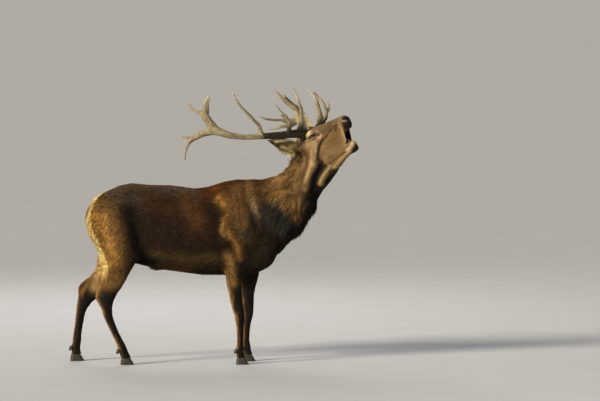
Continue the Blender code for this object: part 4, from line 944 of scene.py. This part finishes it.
# painted shade in the hollows and undersides of the jaw, chin and throat, dark whichever way the skin faces
# there; on the throat also its own black hair
THROAT_SHADE_MARKS = [
    ([(64, -250), (44, -242), (26, -243)], 15, (0.01, 0.008, 0.005), 0.98),
    ([(30, -222), (24, -246), (3, -265), (-22, -288), (-46, -314), (-63, -344), (-78, -374), (-100, -420)],
     33, (0.007, 0.005, 0.004), 0.99),
    ([(284, -244), (248, -256), (170, -291), (91, -328), (45, -350), (9, -370), (-29, -392)], 15,
     (0.014, 0.009, 0.006), 0.98),
    ([(66, -322), (34, -343), (2, -368)], 19, (0.008, 0.006, 0.004), 0.98),
    ([(118, -308), (90, -305)], 15, (0.012, 0.008, 0.005), 0.95),
    ([(-10, -385), (-60, -400), (-100, -430)], 35, (0.01, 0.008, 0.006), 0.98),
    ([(314, -206), (296, -230)], 16.5, (0.014, 0.009, 0.006), 0.98),
]
# and from above and in front: (path in the head's frame on its left side, radius, colour, strength)
HEAD_MARKS = [
    ([(-30, 30, 20), (50, 30, 20), (140, 20, 20)], 40, FOREHEAD, 0.85),
    ([(140, 30, 20), (300, 30, 20)], 30, (0.105, 0.07, 0.037), 0.75),
    ([(306, 20, -174), (310, 0, -174)], 12, LIP, 0.9),
    # painted shade under the chin
    ([(300, 20, -224), (312, 0, -216)], 19, (0.016, 0.01, 0.006), 0.95),
]
# marks of the near ear: (path of (distance from its root, height over its axis), radius, colour, strength)
EAR_MARKS = [
    ([(20, 8), (50, -10), (85, -14)], 22, (0.52, 0.38, 0.165), 0.92),
    ([(125, 9), (101, 12), (67, 6)], 13, (0.06, 0.04, 0.022), 0.92),
    ([(100, 18), (67, 24), (40, 30)], 11, (0.11, 0.075, 0.034), 0.85),
    # painted shade in the hollow of the near ear
    ([(205, 3), (151, -1), (112, -10)], 12, (0.018, 0.014, 0.007), 0.92),
    # the cream fringe and the pale upper rim: their own pale hair, brightened as painted light
    ([(104, -21), (78, -29), (51, -36), (20, -30)], 12, (0.9, 0.78, 0.44), 0.97),
    ([(152, 13), (107, 30), (67, 48), (25, 50)], 7, (0.88, 0.78, 0.52), 0.98),
]
# the thin lock under the near ear, seen from the head's side
EAR_STRAND = ([(-122, -78), (-114, -100), (-103, -124), (-90, -142)], 8, (0.62, 0.48, 0.25), 0.85)


def ears_tone(tone):
    """Grey-brown backs, pale insides; the near ear with a pale rim and a cream fringe brightened by painted
    light, and a hollow dark with painted shade.
    """
    for side, hollow, pale in ((-1, (0.15, -0.95, -0.2), (0.32, 0.225, 0.095)),
                               (1, (0.3, -0.92, 0.2), (0.56, 0.47, 0.31))):
        own = EARNESS * (SIDE == side)
        inside = rise(NORMALS @ unit(hollow), -0.05, 0.35)
        tone = layered(tone, (own, (0.12, 0.086, 0.04)), (own * inside, pale))
    tone = painted(tone, EAR_PLACE, EAR_MARKS, EARNESS * (SIDE == -1))
    return painted(tone, FACE_VIEW, [EAR_STRAND], (SIDE == -1) * rise(Q[:, 2], 1.34, 1.36))


STRAND = np.array((0.01, 0.01, 0.055))     # width and length of the strands of the neck
# dark between the tan strands: painted shade between the locks
STRAND_DARK = (0.062, 0.032, 0.011)
THROAT_FACING = unit((0.85, 0, -0.5))        # which way the throat faces


def throat_front(q):
    """How far a point lies in front of the sloping line where the shaded throat begins."""
    return q[:, 0] - 0.745 - 0.25 * (q[:, 2] - 1.0)


def neck_tone(tone):
    """Tan locks that end in a ragged edge above the grey-brown neck and the black throat; the throat's black
    is its own hair and painted shade where it faces away from the light.
    """
    x, _, z = Q.T
    edge = z - np.interp(x, TAN_X, TAN_LOW) + 0.03 * noise(Q, np.array((0.018, 0.018, 0.06)), 14)
    front = throat_front(Q) + 0.016 * noise(Q, np.array((0.02, 0.02, 0.05)), 15)
    warm = rise(edge, -0.012, 0.018) * rise(front, 0.025, -0.02)
    strands = rise(noise(Q, STRAND, 16), -0.2, 0.5)
    throat = np.maximum(rise(NORMALS @ THROAT_FACING, 0.3, 0.75), rise(front, 0.005, 0.045))
    crest = rise(NORMALS[:, 2], 0.55, 0.85) * rise(x, 0.62, 0.5)
    mane = layered(
        np.tile(MANE_DARK, (len(Q), 1)),
        (warm, MANE_TAN),
        # painted shade between the tan locks
        (warm * strands * 0.62, STRAND_DARK),
        # painted shade on the throat where it faces away from the light, over its own black hair
        (throat * 0.9, (0.016, 0.012, 0.009)),
        (crest * 0.7, RED_BROWN))
    return blend(tone, MANE, mane)


# dark flecks over the haunch, and beside each nostril its pink rim with a painted highlight of wet sheen, as
# marks
HAUNCH_MOTTLE = ([(-580, 1060), (-560, 900), (-520, 700)], 95, (0.11, 0.062, 0.024), 0.34)
NOSTRIL_PINK_AND_SHEEN = ([(306, 41, -12), (321, 37, -18), (330, 26, -22)], 6.2, (0.43, 0.26, 0.265), 0.85)


def coat_colours_and_painted_light():
    """The colour of each point of the skin, and of the hair rooted there, painted light and shade among it.
    """
    side = SIDE_VIEW + 0.011 * np.stack([noise(Q, 0.05, 31), noise(Q, 0.05, 32)], axis=1)
    tone = painted(np.tile(FLANK, (len(Q), 1)), side, BODY_MARKS)
    mottle = rise(noise(Q, np.array((0.022, 0.022, 0.034)), 33), 0.0, 0.7)
    tone = painted(tone, side, [HAUNCH_MOTTLE], mottle)
    tone = neck_tone(rump_tone(legs_tone(tone)))
    tone = blend(tone, HEADNESS, TAN)
    tone = painted(tone, LEFT_HALF, HEAD_MARKS, HEADNESS)
    shaded = rise(throat_front(Q), 0.0, 0.022) * rise(Q[:, 2], 1.27, 1.21)
    tone = blend(tone, HEADNESS * shaded * 0.95, (0.014, 0.01, 0.007))
    face = HEADNESS * rise(np.abs(NORMALS @ LEFT), 0.05, 0.35)
    # painted shade in the hollows and under the jaw and chin
    tone = painted(tone, FACE_VIEW, THROAT_SHADE_MARKS, np.maximum(HEADNESS, MANE * 0.9), 4)
    # painted highlight on the lit crests of the fold and the jaw
    tone = painted(tone, FACE_VIEW, FOLD_HIGHLIGHTS, np.maximum(face, MANE * 0.8), 4)
    tone = painted(tone, FACE_VIEW, FACE_MARKS, face)
    strands = rise(noise(Q, STRAND, 16), -0.1, 0.5)
    behind = HEADNESS * rise(H[:, 0] - 0.35 * (H[:, 2] + 0.2), -0.07, -0.11) * (1 - shaded)
    tone = layered(tone, (behind * 0.8, (0.29, 0.18, 0.078)), (behind * strands * 0.65, STRAND_DARK))
    tone = ears_tone(tone)
    streaks = noise(H, np.array((0.03, 0.006, 0.006)), 34) * HEADNESS
    patchy = 1 + 0.16 * noise(Q, 0.045, 5) + 0.12 * noise(Q, 0.014, 6) + 0.14 * streaks
    tone = blend(tone * patchy[:, None], NOSE, (0.013, 0.01, 0.009))
    tone = painted(tone, LEFT_HALF, [NOSTRIL_PINK_AND_SHEEN], NOSE)
    tone = layered(
        tone,
        (MOUTH, (0.06, 0.016, 0.014)),
        # painted shade deeper inside the open mouth
        (MOUTH * rise(H[:, 0], 0.3, 0.25) * 0.92, (0.007, 0.004, 0.004)),
        # painted shade on the skin in the gap round the eye
        (eye_share(H, 0.018, 0.02), (0.02, 0.014, 0.01)))
    return np.clip(tone, 0.003, 0.9)


TONE = coat_colours_and_painted_light()
paint(skin.data, "tone", TONE)
mark(skin.data, "wet", np.maximum(MOUTH, NOSE * 0.9))

# ---------------------------------------------------------------- the coat
x_all, y_all, z_all = Q.T
BELLY = rise(NORMALS[:, 2], -0.5, -0.9) * rise(np.abs(x_all), 0.45, 0.35)
BEHIND_JAW = HEADNESS * rise(H[:, 0], -0.05, -0.1)
LENGTH = layered(
    np.full(len(Q), 0.027),
    (BELLY, 0.034),
    (rise(x_all, -0.6, -0.66), 0.031),
    (MANE, 0.062),
    (MANE * rise(NORMALS @ THROAT_FACING, 0.2, 0.6), 0.074),
    (MANE * rise(z_all, 0.97, 0.86), 0.036),
    (rise(z_all, 0.66, 0.5), 0.0125),
    (HEADNESS, 0.0095),
    (HEADNESS * rise(H[:, 0], -0.03, 0.04) * rise(H[:, 2], -0.26, -0.2), 0.007),
    (HEADNESS * rise(H[:, 0], 0.2, 0.27), 0.0052),
    (HEADNESS * eye_share(H, 0.03, 0.055), 0.0048),
    (BEHIND_JAW, 0.026),
    (EARNESS, 0.011),
    (EAR_FRINGE, 0.026),
    (EAR_HANG, 0.052),
    (TAILNESS, 0.034))
# how steeply the hair stands off the skin, as a share of its length
LIFT = layered(np.full(len(Q), 0.2), (MANE, 0.42), (BELLY, 0.34), (LEGNESS, 0.16), (HEADNESS, 0.17),
               (BEHIND_JAW, 0.32), (EARNESS, 0.18))
WIDTH = np.clip(0.15 * LENGTH, 0.0011, 0.004)
DROOP = 0.3 * MANE + 0.1 * BELLY

corners = read(skin.data.polygons, "vertices", 3, np.int32)
face_uv = read(skin.data.uv_layers["OFBake"].data, "uv", 2).reshape(-1, 3, 2)
edge_a = POINTS[corners[:, 1]] - POINTS[corners[:, 0]]
edge_b = POINTS[corners[:, 2]] - POINTS[corners[:, 0]]
AREA = np.linalg.norm(np.cross(edge_a, edge_b), axis=1) / 2
PATCH = 0.003                # width of a tuft's patch on the UV map
ROOT_DEEP = 0.0012           # how far a tuft starts under the skin


def tufts(word, share, count, rings, curl=0.1, lock=0, pull=0.0, contrast=0.24, shadow=0.38):
    """Closed, flattened spindles of hair rooted on the skin, `count` of them spread by area and `share`.

    With `lock`, about that many neighbours lean together by `pull` and share their shade. A root is darker
    than the marking by `shadow`, as painted shade deep in the coat. The calls share one random generator, so
    their order counts.
    """
    load = np.cumsum(AREA * share[corners].mean(1))
    face = np.searchsorted(load, (np.arange(count) + rng.random(count)) / count * load[-1])
    face = np.minimum(face, len(corners) - 1)
    first, second = np.sqrt(rng.random(count)), rng.random(count)
    part = np.stack([1 - first, first * (1 - second), first * second], axis=1)

    def field(values):
        picked = values[corners[face]]
        return np.einsum("nk,nk...->n...", part, picked)

    root, up, lie = field(POINTS), unit(field(NORMALS)), field(LIE)
    length = field(LENGTH) * rng.uniform(0.7, 1.25, count)
    tone = TONE[[UNDER.find(point)[1] for point in root + lie * (length * TUFT_MIDDLE)[:, None]]]
    width, lift, droop = field(WIDTH) * rng.uniform(0.8, 1.2, count), field(LIFT), field(DROOP)
    lift = lift * rng.uniform(0.45, 1.35, count)
    lie = unit(lie - up * (lie * up).sum(1, keepdims=True))
    across = np.cross(up, lie)
    lie = unit(lie + across * rng.normal(0, 0.16, count)[:, None])
    across = np.cross(up, lie)
    sway = rng.normal(0, curl, count)
    place = np.einsum("nk,nkc->nc", part, face_uv[face])
    shade = 1 + contrast * rng.uniform(-1, 1, count)
    gather = np.zeros((count, 3))
    if lock:
        guides = rng.permutation(count)[:count // lock]
        tree = KDTree(len(guides))
        for index, guide in enumerate(guides):
            tree.insert(root[guide], index)
        tree.balance()
        own = guides[[tree.find(point)[1] for point in root]]
        tip = root + lie * length[:, None] + up * (length * lift * 0.5)[:, None]
        gather = (tip[own] - tip) * pull
        shade = shade * (1 + 1.3 * contrast * rng.uniform(-1, 1, count)[own])

    levels = np.linspace(0, 1, rings + 2)
    points, colours, patch = [], [], []
    for level in levels:
        body = root + lie * (length * level)[:, None] + gather * level ** 1.5
        body += up * (length * lift * level * (1 - 0.45 * level) - ROOT_DEEP * (1 - level))[:, None]
        body += across * (length * sway * level ** 2)[:, None]
        body[:, 2] -= droop * length * level ** 2
        thick = width * (0.6 + 1.3 * level) * (1 - level) ** 0.7 if level < 1 else width * 0
        # painted shade deep in the coat at the root, lighter towards the tip, times the tuft's own random
        # brightness
        tone_shaded_at_root = tone * (shade * (1 - shadow + 1.37 * shadow * level))[:, None]
        offsets = (-0.5, -0.12), (0.5, -0.12), (0.0, 0.3)
        if level == 1:
            offsets = ((0.0, 0.0),)
        for aside, above in offsets:
            points.append(body + across * (thick * aside)[:, None] + up * (thick * above)[:, None])
            colours.append(tone_shaded_at_root)
            patch.append(place + np.array((aside * 2 if level < 1 else 0.0, 2 * level - 1)) * (PATCH / 2))
    per = len(points)
    made = [np.stack(rows, axis=1).reshape(count * per, -1) for rows in (points, colours, patch)]
    points, colours, patch = made
    triangles = [(0, 2, 1)]
    for ring in range(rings):
        for k in range(3):
            a, b = 3 * ring + k, 3 * ring + (k + 1) % 3
            triangles += quad(a, b, b + 3, a + 3)
    tip, last = per - 1, 3 * rings
    triangles += [(last + k, last + (k + 1) % 3, tip) for k in range(3)]
    triangles = np.array(triangles)
    all_triangles = (np.arange(count)[:, None, None] * per + triangles).reshape(-1, 3)
    ob = object_of("coat_" + word, points, all_triangles)
    paint(ob.data, "tone", np.clip(colours, 0.002, 0.95))
    layer = ob.data.uv_layers.new(name="OFBake")
    layer.data.foreach_set("uv", patch[all_triangles.ravel()].astype(np.float32).ravel())
    ob.data.materials.append(COAT)
    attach(ob, "root")


TUFT_MIDDLE = 0.42           # where along its length a tuft shows the colour of the marking under it
UNDER = KDTree(len(POINTS))
for index, point in enumerate(POINTS):
    UNDER.insert(point, index)
UNDER.balance()
COAT = coat_material()
rng = np.random.default_rng(SEED)
furred = (1 - BARE) * (1 - SOLE)
leg_share_of_coat = rise(z_all, 0.62, 0.56)
trunk = furred * (1 - MANE) * (1 - HEADNESS) * (1 - EARNESS) * (1 - leg_share_of_coat)
ZONES = {"haunch": rise(x_all, -0.36, -0.38), "flank": rise(x_all, -0.38, -0.36) * rise(x_all, 0.12, 0.1),
         "shoulder": rise(x_all, 0.1, 0.12)}
loads = [(AREA * (trunk * zone)[corners].mean(1)).sum() for zone in ZONES.values()]
for (word, zone), load in zip(ZONES.items(), loads):
    half = int(BODY_TUFTS * load / sum(loads) / 2)
    for side, share in (("right", rise(y_all, 0.001, -0.001)), ("left", rise(y_all, -0.001, 0.001))):
        tufts(f"{word}_{side}", trunk * zone * share, half, 1, lock=5, pull=0.35, contrast=0.3)
mane = furred * MANE * (1 - HEADNESS)
for word, curl, pull in (("mane", 0.16, 0.75), ("mane_under", 0.12, 0.6), ("mane_over", 0.2, 0.85)):
    tufts(word, mane, MANE_TUFTS // 3, 2, curl, lock=11, pull=pull, contrast=0.36)
finer = 1 + 1.2 * rise(H[:, 0], 0.12, 0.24)
for side, sign in (("right", -1), ("left", 1)):
    share = furred * HEADNESS * (1 - EARNESS) * finer * rise(sign * H[:, 1], -0.001, 0.001)
    tufts("head_" + side, share, HEAD_TUFTS // 2, 0, shadow=0.14)
tufts("legs", furred * leg_share_of_coat, LEG_TUFTS, 0, shadow=0.25)
tufts("ears", furred * EARNESS, EAR_TUFTS, 1, contrast=0.34)
dress(skin, skin_material(), "coat", *FLESH)


# ---------------------------------------------------------------- eyes and lids
def world(q):
    """A point of the stag's frame in the row's frame."""
    return np.asarray(q) + ORIGIN


EYE_SLOPE = math.radians(9)       # the slit rises towards the muzzle
EYE_ROWS, EYE_TURNS = 36, 56
LID_COLUMNS, LID_ROWS = 28, 9


def eyeball(word, side):
    """Dark, glossy eye with a brown iris and a lengthwise pupil."""
    centre = world(head(EYE[0], side * EYE[1], EYE[2]))
    out = unit(LEFT * side * 0.92 + FORE * 0.34 + UP * 0.12)
    slope = unit(FORE + UP * math.tan(EYE_SLOPE))
    long = unit(slope - out * (slope @ out))
    high = np.cross(out, long)
    if high @ UP < 0:
        high = -high
    points, triangles = [], []
    for i in range(EYE_ROWS + 1):
        tilt = math.pi * i / EYE_ROWS
        for k in range(EYE_TURNS):
            turn = 2 * math.pi * k / EYE_TURNS
            off = out * math.cos(tilt) + (long * math.cos(turn) + high * math.sin(turn)) * math.sin(tilt)
            points.append(centre + off * EYE_RADIUS)
    for i in range(EYE_ROWS):
        for k in range(EYE_TURNS):
            a, b = i * EYE_TURNS + k, i * EYE_TURNS + (k + 1) % EYE_TURNS
            triangles += quad(a, a + EYE_TURNS, b + EYE_TURNS, b)
    points = np.array(points)
    ob = object_of("eye_ball_" + word, points, triangles)
    off = (points - centre) / EYE_RADIUS
    far = np.arccos(np.clip(off @ out, -1, 1))
    pupil = np.hypot(off @ long / 0.36, off @ high / 0.2)
    tone = layered(
        np.tile((0.014, 0.008, 0.006), (len(points), 1)),
        (rise(far, 0.86, 0.78), (0.026, 0.012, 0.006)),
        (rise(far, 0.8, 0.86) * rise(far, 0.92, 0.86), (0.009, 0.006, 0.005)),
        (rise(pupil, 1.15, 0.9), (0.004, 0.003, 0.004)))
    paint(ob.data, "tone", tone)
    face_outwards(ob.data)
    dress(ob, EYE_LOOK, "eye", "eye_" + word)
    return centre, out, long, high


LID_REACH = math.radians(76)      # half the length of a lid, seen from the eye's centre
LID_EDGE = math.radians(82)       # where the lids turn into the face
LID_DEEP = 0.0036                 # thickness of a lid
LID_ROOT = 0.0275                 # how far from the eye's axis the lids end under the skin
SLIT_SHARE = 1.22                 # a lid's length over the opening's
# (label, way it opens, height of the opening, colour of its hair)
LIDS = [
    ("upper", 1, math.radians(16), np.array((0.56, 0.44, 0.24))),
    ("lower", -1, math.radians(14), np.array((0.5, 0.33, 0.215))),
]
RIM = np.array((0.012, 0.008, 0.006))
LID_BROWN = np.array((0.29, 0.185, 0.105))


def lid_swell(v):
    """Thickness of a lid from its margin (0) to its root (1), as a share of LID_DEEP."""
    return 0.5 + 0.5 * math.sin(math.pi * min(0.5, v * 1.25))


def smooth(value):
    value = min(1, max(0, value))
    return value * value * (3 - 2 * value)


def lid_root(centre, out, toward):
    """Where a lid ends, a little under the skin beside the eye."""
    aside = unit(toward - out * (toward @ out)) * LID_ROOT
    hit = SKIN_TREE.ray_cast(Vector(centre + aside + out * 0.03), Vector(-out))[0]
    height = 0.004 if hit is None else (np.array(hit) - centre) @ out
    return centre + aside + out * (max(-0.01, height) - 0.001)


def lids(word, centre, out, long, high):
    """Upper and lower lid as one closed rim each, round an almond opening."""
    columns, rows = LID_COLUMNS, LID_ROWS
    for label, sign, gape, fair in LIDS:
        points, tone = [], []
        for swell in (1, 0):
            for i in range(columns + 1):
                u = 2 * i / columns - 1
                margin = gape * max(0.0, 1 - (SLIT_SHARE * u) ** 2) ** 0.8
                for j in range(rows + 1):
                    v = j / rows
                    tilt = sign * (margin + (LID_EDGE - margin) * v)
                    turn = u * LID_REACH * (1 + 0.12 * v)
                    radius = EYE_RADIUS + 0.0003 + swell * LID_DEEP * lid_swell(v)
                    level = out * math.cos(turn) + long * math.sin(turn)
                    toward = level * math.cos(tilt) + high * math.sin(tilt)
                    rooted = max(smooth((v - 0.4) / 0.6), smooth((abs(u) - 0.76) / 0.24))
                    root = lid_root(centre, out, toward) - out * (0.0016 * (1 - swell))
                    points.append((centre + toward * radius) * (1 - rooted) + root * rooted)
                    rim = 1 - min(1, max(0, v - 0.14) / 0.14)
                    behind = min(1, max(0, 0.65 - 0.7 * u)) if label == "upper" else 0.8
                    hair = RIM * rim + (fair * behind + LID_BROWN * (1 - behind)) * (1 - rim)
                    beside = TONE[UNDER.find(Vector(root))[1]]
                    tone.append(hair * (1 - rooted) + beside * rooted)
        row = rows + 1
        shell = (columns + 1) * row
        triangles = []
        for layer in (0, 1):
            for i in range(columns):
                for j in range(rows):
                    a = layer * shell + i * row + j
                    triangles += quad(a, a + 1, a + row + 1, a + row)
        for i in range(columns):
            for j in (0, rows):
                a = i * row + j
                triangles += quad(a, a + row, a + row + shell, a + shell)
        for j in range(rows):
            for i in (0, columns):
                a = i * row + j
                triangles += quad(a, a + 1, a + 1 + shell, a + shell)
        ob = object_of(f"lid_{label}_{word}", np.array(points), triangles)
        face_outwards(ob.data, 0)
        paint(ob.data, "tone", np.array(tone))
        mark(ob.data, "wet", np.zeros(len(points)))
        dress(ob, skin.data.materials[0], "coat_head")


EYE_LOOK = eye_material()
SKIN_TREE = BVHTree.FromPolygons(POINTS.tolist(), corners.tolist())
for word, side in (("right", -1), ("left", 1)):
    lids(word, *eyeball(word, side))


# ---------------------------------------------------------------- antlers
PEARL = 0.0048
ANTLER_IN, ANTLER_OUT = 0.55, -0.57       # each pass shrinks, then swells again, so no tine gets thinner
# the dark foot is the antler's own dark base; on the right beam it reaches out to the trez as painted shade
RIGHT_TURN, LEFT_TURN = 0.5, 0.33      # where the dark foot of each beam ends: stag's x, stag's y


def antler(word):
    """One antler: smooth and pale at the tips, dark, pearled and grooved near the head; on the right beam the
    dark reaches out to the trez as painted shade.
    """
    nodes = [n for n in NODES if n.startswith("antler_" + word)]
    ob = fused(f"antler_{word}_bone", nodes, ANTLER_VOXEL)
    mesh = ob.data
    co, edges = read_points(mesh), read_edges(mesh)
    for _ in range(ANTLER_PASSES):
        co = averaged(co, edges, 1, ANTLER_IN)
        co = averaged(co, edges, 1, ANTLER_OUT)
    write_points(mesh, co)
    owner = nearest_node(co, nodes)
    axes = []
    for node in nodes:
        own = read_points(frame["nodes"][node].data)
        axes.append(np.linalg.svd(own - own.mean(0), full_matrices=False)[2][0])
    axis = unit(averaged(np.array(axes)[owner], edges, 4))
    q = co - ORIGIN
    along = (q * axis).sum(1, keepdims=True)
    stretched = q + axis * along * (0.1 - 1.0)
    foot = np.linalg.norm(in_head(q)[:, :2] - (-0.01, -0.055 if word == "right" else 0.055), axis=1)
    # the right beam's dark foot: its own dark base and, out to the trez, painted shade
    if word == "right":
        dark = rise(q[:, 0], RIGHT_TURN - 0.012, RIGHT_TURN + 0.012) * rise(q[:, 2], 1.66, 1.6)
    else:
        dark = rise(q[:, 1], LEFT_TURN + 0.03, LEFT_TURN - 0.03) * rise(in_head(q)[:, 2], 0.1, 0.03)
    grooves = noise(stretched, 0.006, 3) + 0.5 * noise(stretched, 0.0032, 4)
    pearls = np.clip(noise(q, PEARL, 8) + 0.15, 0, 1)
    crown = rise(foot, 0.07, 0.04)
    lift = 0.00075 * grooves * (1 - 0.3 * dark) + 0.0022 * pearls * np.maximum(dark * 0.7, crown)
    lift += 0.001 * noise(q, 0.02, 9) - (0.0012 if word == "left" else 0.0008)
    write_points(mesh, co + read_normals(mesh) * lift[:, None])
    tone = layered(
        np.tile((0.29, 0.24, 0.15), (len(q), 1)),
        (dark, (0.026, 0.018, 0.007)),
        (np.clip(-grooves, 0, 1) * 0.7 * (1 - dark), (0.07, 0.05, 0.026)),
        (np.clip(grooves, 0, 1) * 0.35 * (1 - dark), (0.52, 0.45, 0.31)),
        (pearls * dark * 0.3, (0.095, 0.068, 0.034)),
        (rise(q[:, 2], 1.74, 1.86) * 0.6, (0.64, 0.57, 0.43)))
    paint(mesh, "tone", tone)
    smooth_shaded(mesh)
    dress(ob, ANTLER_LOOK, "antler", *nodes)


ANTLER_LOOK = antler_material()
for word in ("right", "left"):
    antler(word)


# ---------------------------------------------------------------- tongue, teeth, hooves
def softened(name, node, slot, look):
    """A CAD node's shape with its facets rounded."""
    bm = welded(frame["nodes"][node].data)
    bmesh.ops.dissolve_limit(bm, angle_limit=0.03, verts=bm.verts, edges=bm.edges)
    bmesh.ops.triangulate(bm, faces=bm.faces)
    ob = placed(name, mesh_of(name, bm))
    bevel = ob.modifiers.new("edges", "BEVEL")
    bevel.width = 0.0012
    bevel.segments = 2
    bevel.limit_method = "ANGLE"
    bevel.angle_limit = math.radians(50)
    divide = ob.modifiers.new("round", "SUBSURF")
    divide.levels = divide.render_levels = 2
    settle(ob)
    smooth_shaded(ob.data)
    dress(ob, look, slot, node)


HORN = horn_material()
for node in NODES:
    if node.startswith("hoof_"):
        softened(node + "_horn", node, "hoof", HORN)
    if node.startswith("dewclaw_"):
        claw = fused(node + "_horn", [node], CLAW_VOXEL)
        claw_points = averaged(read_points(claw.data), read_edges(claw.data), 3)
        write_points(claw.data, claw_points + read_normals(claw.data) * 0.0012)
        smooth_shaded(claw.data)
        dress(claw, HORN, "hoof", node)
softened("tongue_flesh", "tongue", "tongue", moist_material())


TEETH = 8
TOOTH_TURN = 0.24            # from one tooth to the next along the arc of the jaw, in radians


def teeth():
    """The small front teeth of the lower jaw, tallest in the middle."""
    whole = bmesh.new()
    for k in range(TEETH):
        from_middle = k - (TEETH - 1) / 2
        turn = from_middle * TOOTH_TURN
        outermost = TOOTH_TURN * (TEETH - 1) / 2
        aside = 0.021 * math.sin(turn) / math.sin(outermost)
        foot = world(head(0.272 + 0.02 * math.cos(turn), aside, -0.1625))
        tall, wide = 0.0105 - 0.0012 * abs(from_middle), 0.0026
        out = unit(FORE * math.cos(turn) + LEFT * math.sin(turn))
        side = np.cross(UP, out)
        made = bmesh.ops.create_uvsphere(whole, u_segments=12, v_segments=8, radius=1.0)["verts"]
        for v in made:
            c = np.array(v.co)
            flare = 1 + 0.25 * c[2]
            lean = out * (c[1] * 0.0017 + c[2] * 0.0022)
            v.co = foot + side * c[0] * wide * flare + lean + UP * c[2] * tall * 0.62
    ob = placed("teeth", mesh_of("teeth", whole))
    smooth_shaded(ob.data)
    dress(ob, tooth_material(), "tongue")


teeth()


# ---------------------------------------------------------------- floor, light, camera
FLOOR_REACH = 150
FLOOR_PAIR = ((0.54, 0.57, 0.64), (0.57, 0.6, 0.67))


LAMPS_AIM = Vector((0, 0, 1.0))


def aim(name, data, place):
    """A lamp at a place, turned towards the stag's middle."""
    ob = placed(name, data)
    ob.location = place
    ob.rotation_euler = (LAMPS_AIM - Vector(place)).to_track_quat("-Z", "Y").to_euler()


def studio():
    """A flat, pale floor, a low sun, two soft lamps and a faint sky."""
    ends = [(-1, -1), (1, -1), (1, 1), (-1, 1)]
    floor = object_of("floor", [(x * FLOOR_REACH, y * FLOOR_REACH, 0.0) for x, y in ends], quad(0, 1, 2, 3))
    material, tree, shader = surface("floor", 0.9, 0.2)
    coloured(tree, shader, marbled(tree, 3, *FLOOR_PAIR))
    floor.data.materials.append(material)

    def lamp(name, place, size, watts, colour):
        data = bpy.data.lights.new(name, "AREA")
        data.shape = "SQUARE"
        data.size = size
        data.energy = watts
        data.color = colour
        aim(name, data, place)

    sun = bpy.data.lights.new("key", "SUN")
    sun.energy = 4.6
    sun.angle = math.radians(14)
    sun.color = (1.0, 0.86, 0.64)
    aim("key", sun, (-6.4, -4.2, 4.2))
    lamp("fill", (3.0, -6.0, 3.2), 4.0, 60, (1.0, 0.96, 0.9))
    lamp("back", (-1.0, 4.5, 4.5), 3.0, 120, (1.0, 0.95, 0.88))
    sky = bpy.data.worlds.new("studio")
    bpy.context.scene.world = sky
    sky.use_nodes = True
    background = sky.node_tree.nodes["Background"]
    background.inputs["Color"].default_value = (1.0, 0.97, 0.92, 1)
    background.inputs["Strength"].default_value = 0.22
    bpy.context.scene.view_settings.view_transform = "Standard"


def camera():
    """Almost level, far off, square to the stag's right side."""
    tilt, reach, view_width = math.radians(4), 30.0, 4.08
    target = Vector(world((0.748, 0.0, 1.1084)))
    back = Vector((0, -math.cos(tilt), math.sin(tilt)))
    data = bpy.data.cameras.new("camera")
    data.sensor_width = 36
    data.lens = 36 * reach / view_width
    data.clip_end = 200
    ob = placed("camera", data)
    ob.location = target + back * reach
    ob.rotation_euler = (-back).to_track_quat("-Z", "Y").to_euler()
    bpy.context.scene.camera = ob


studio()
camera()
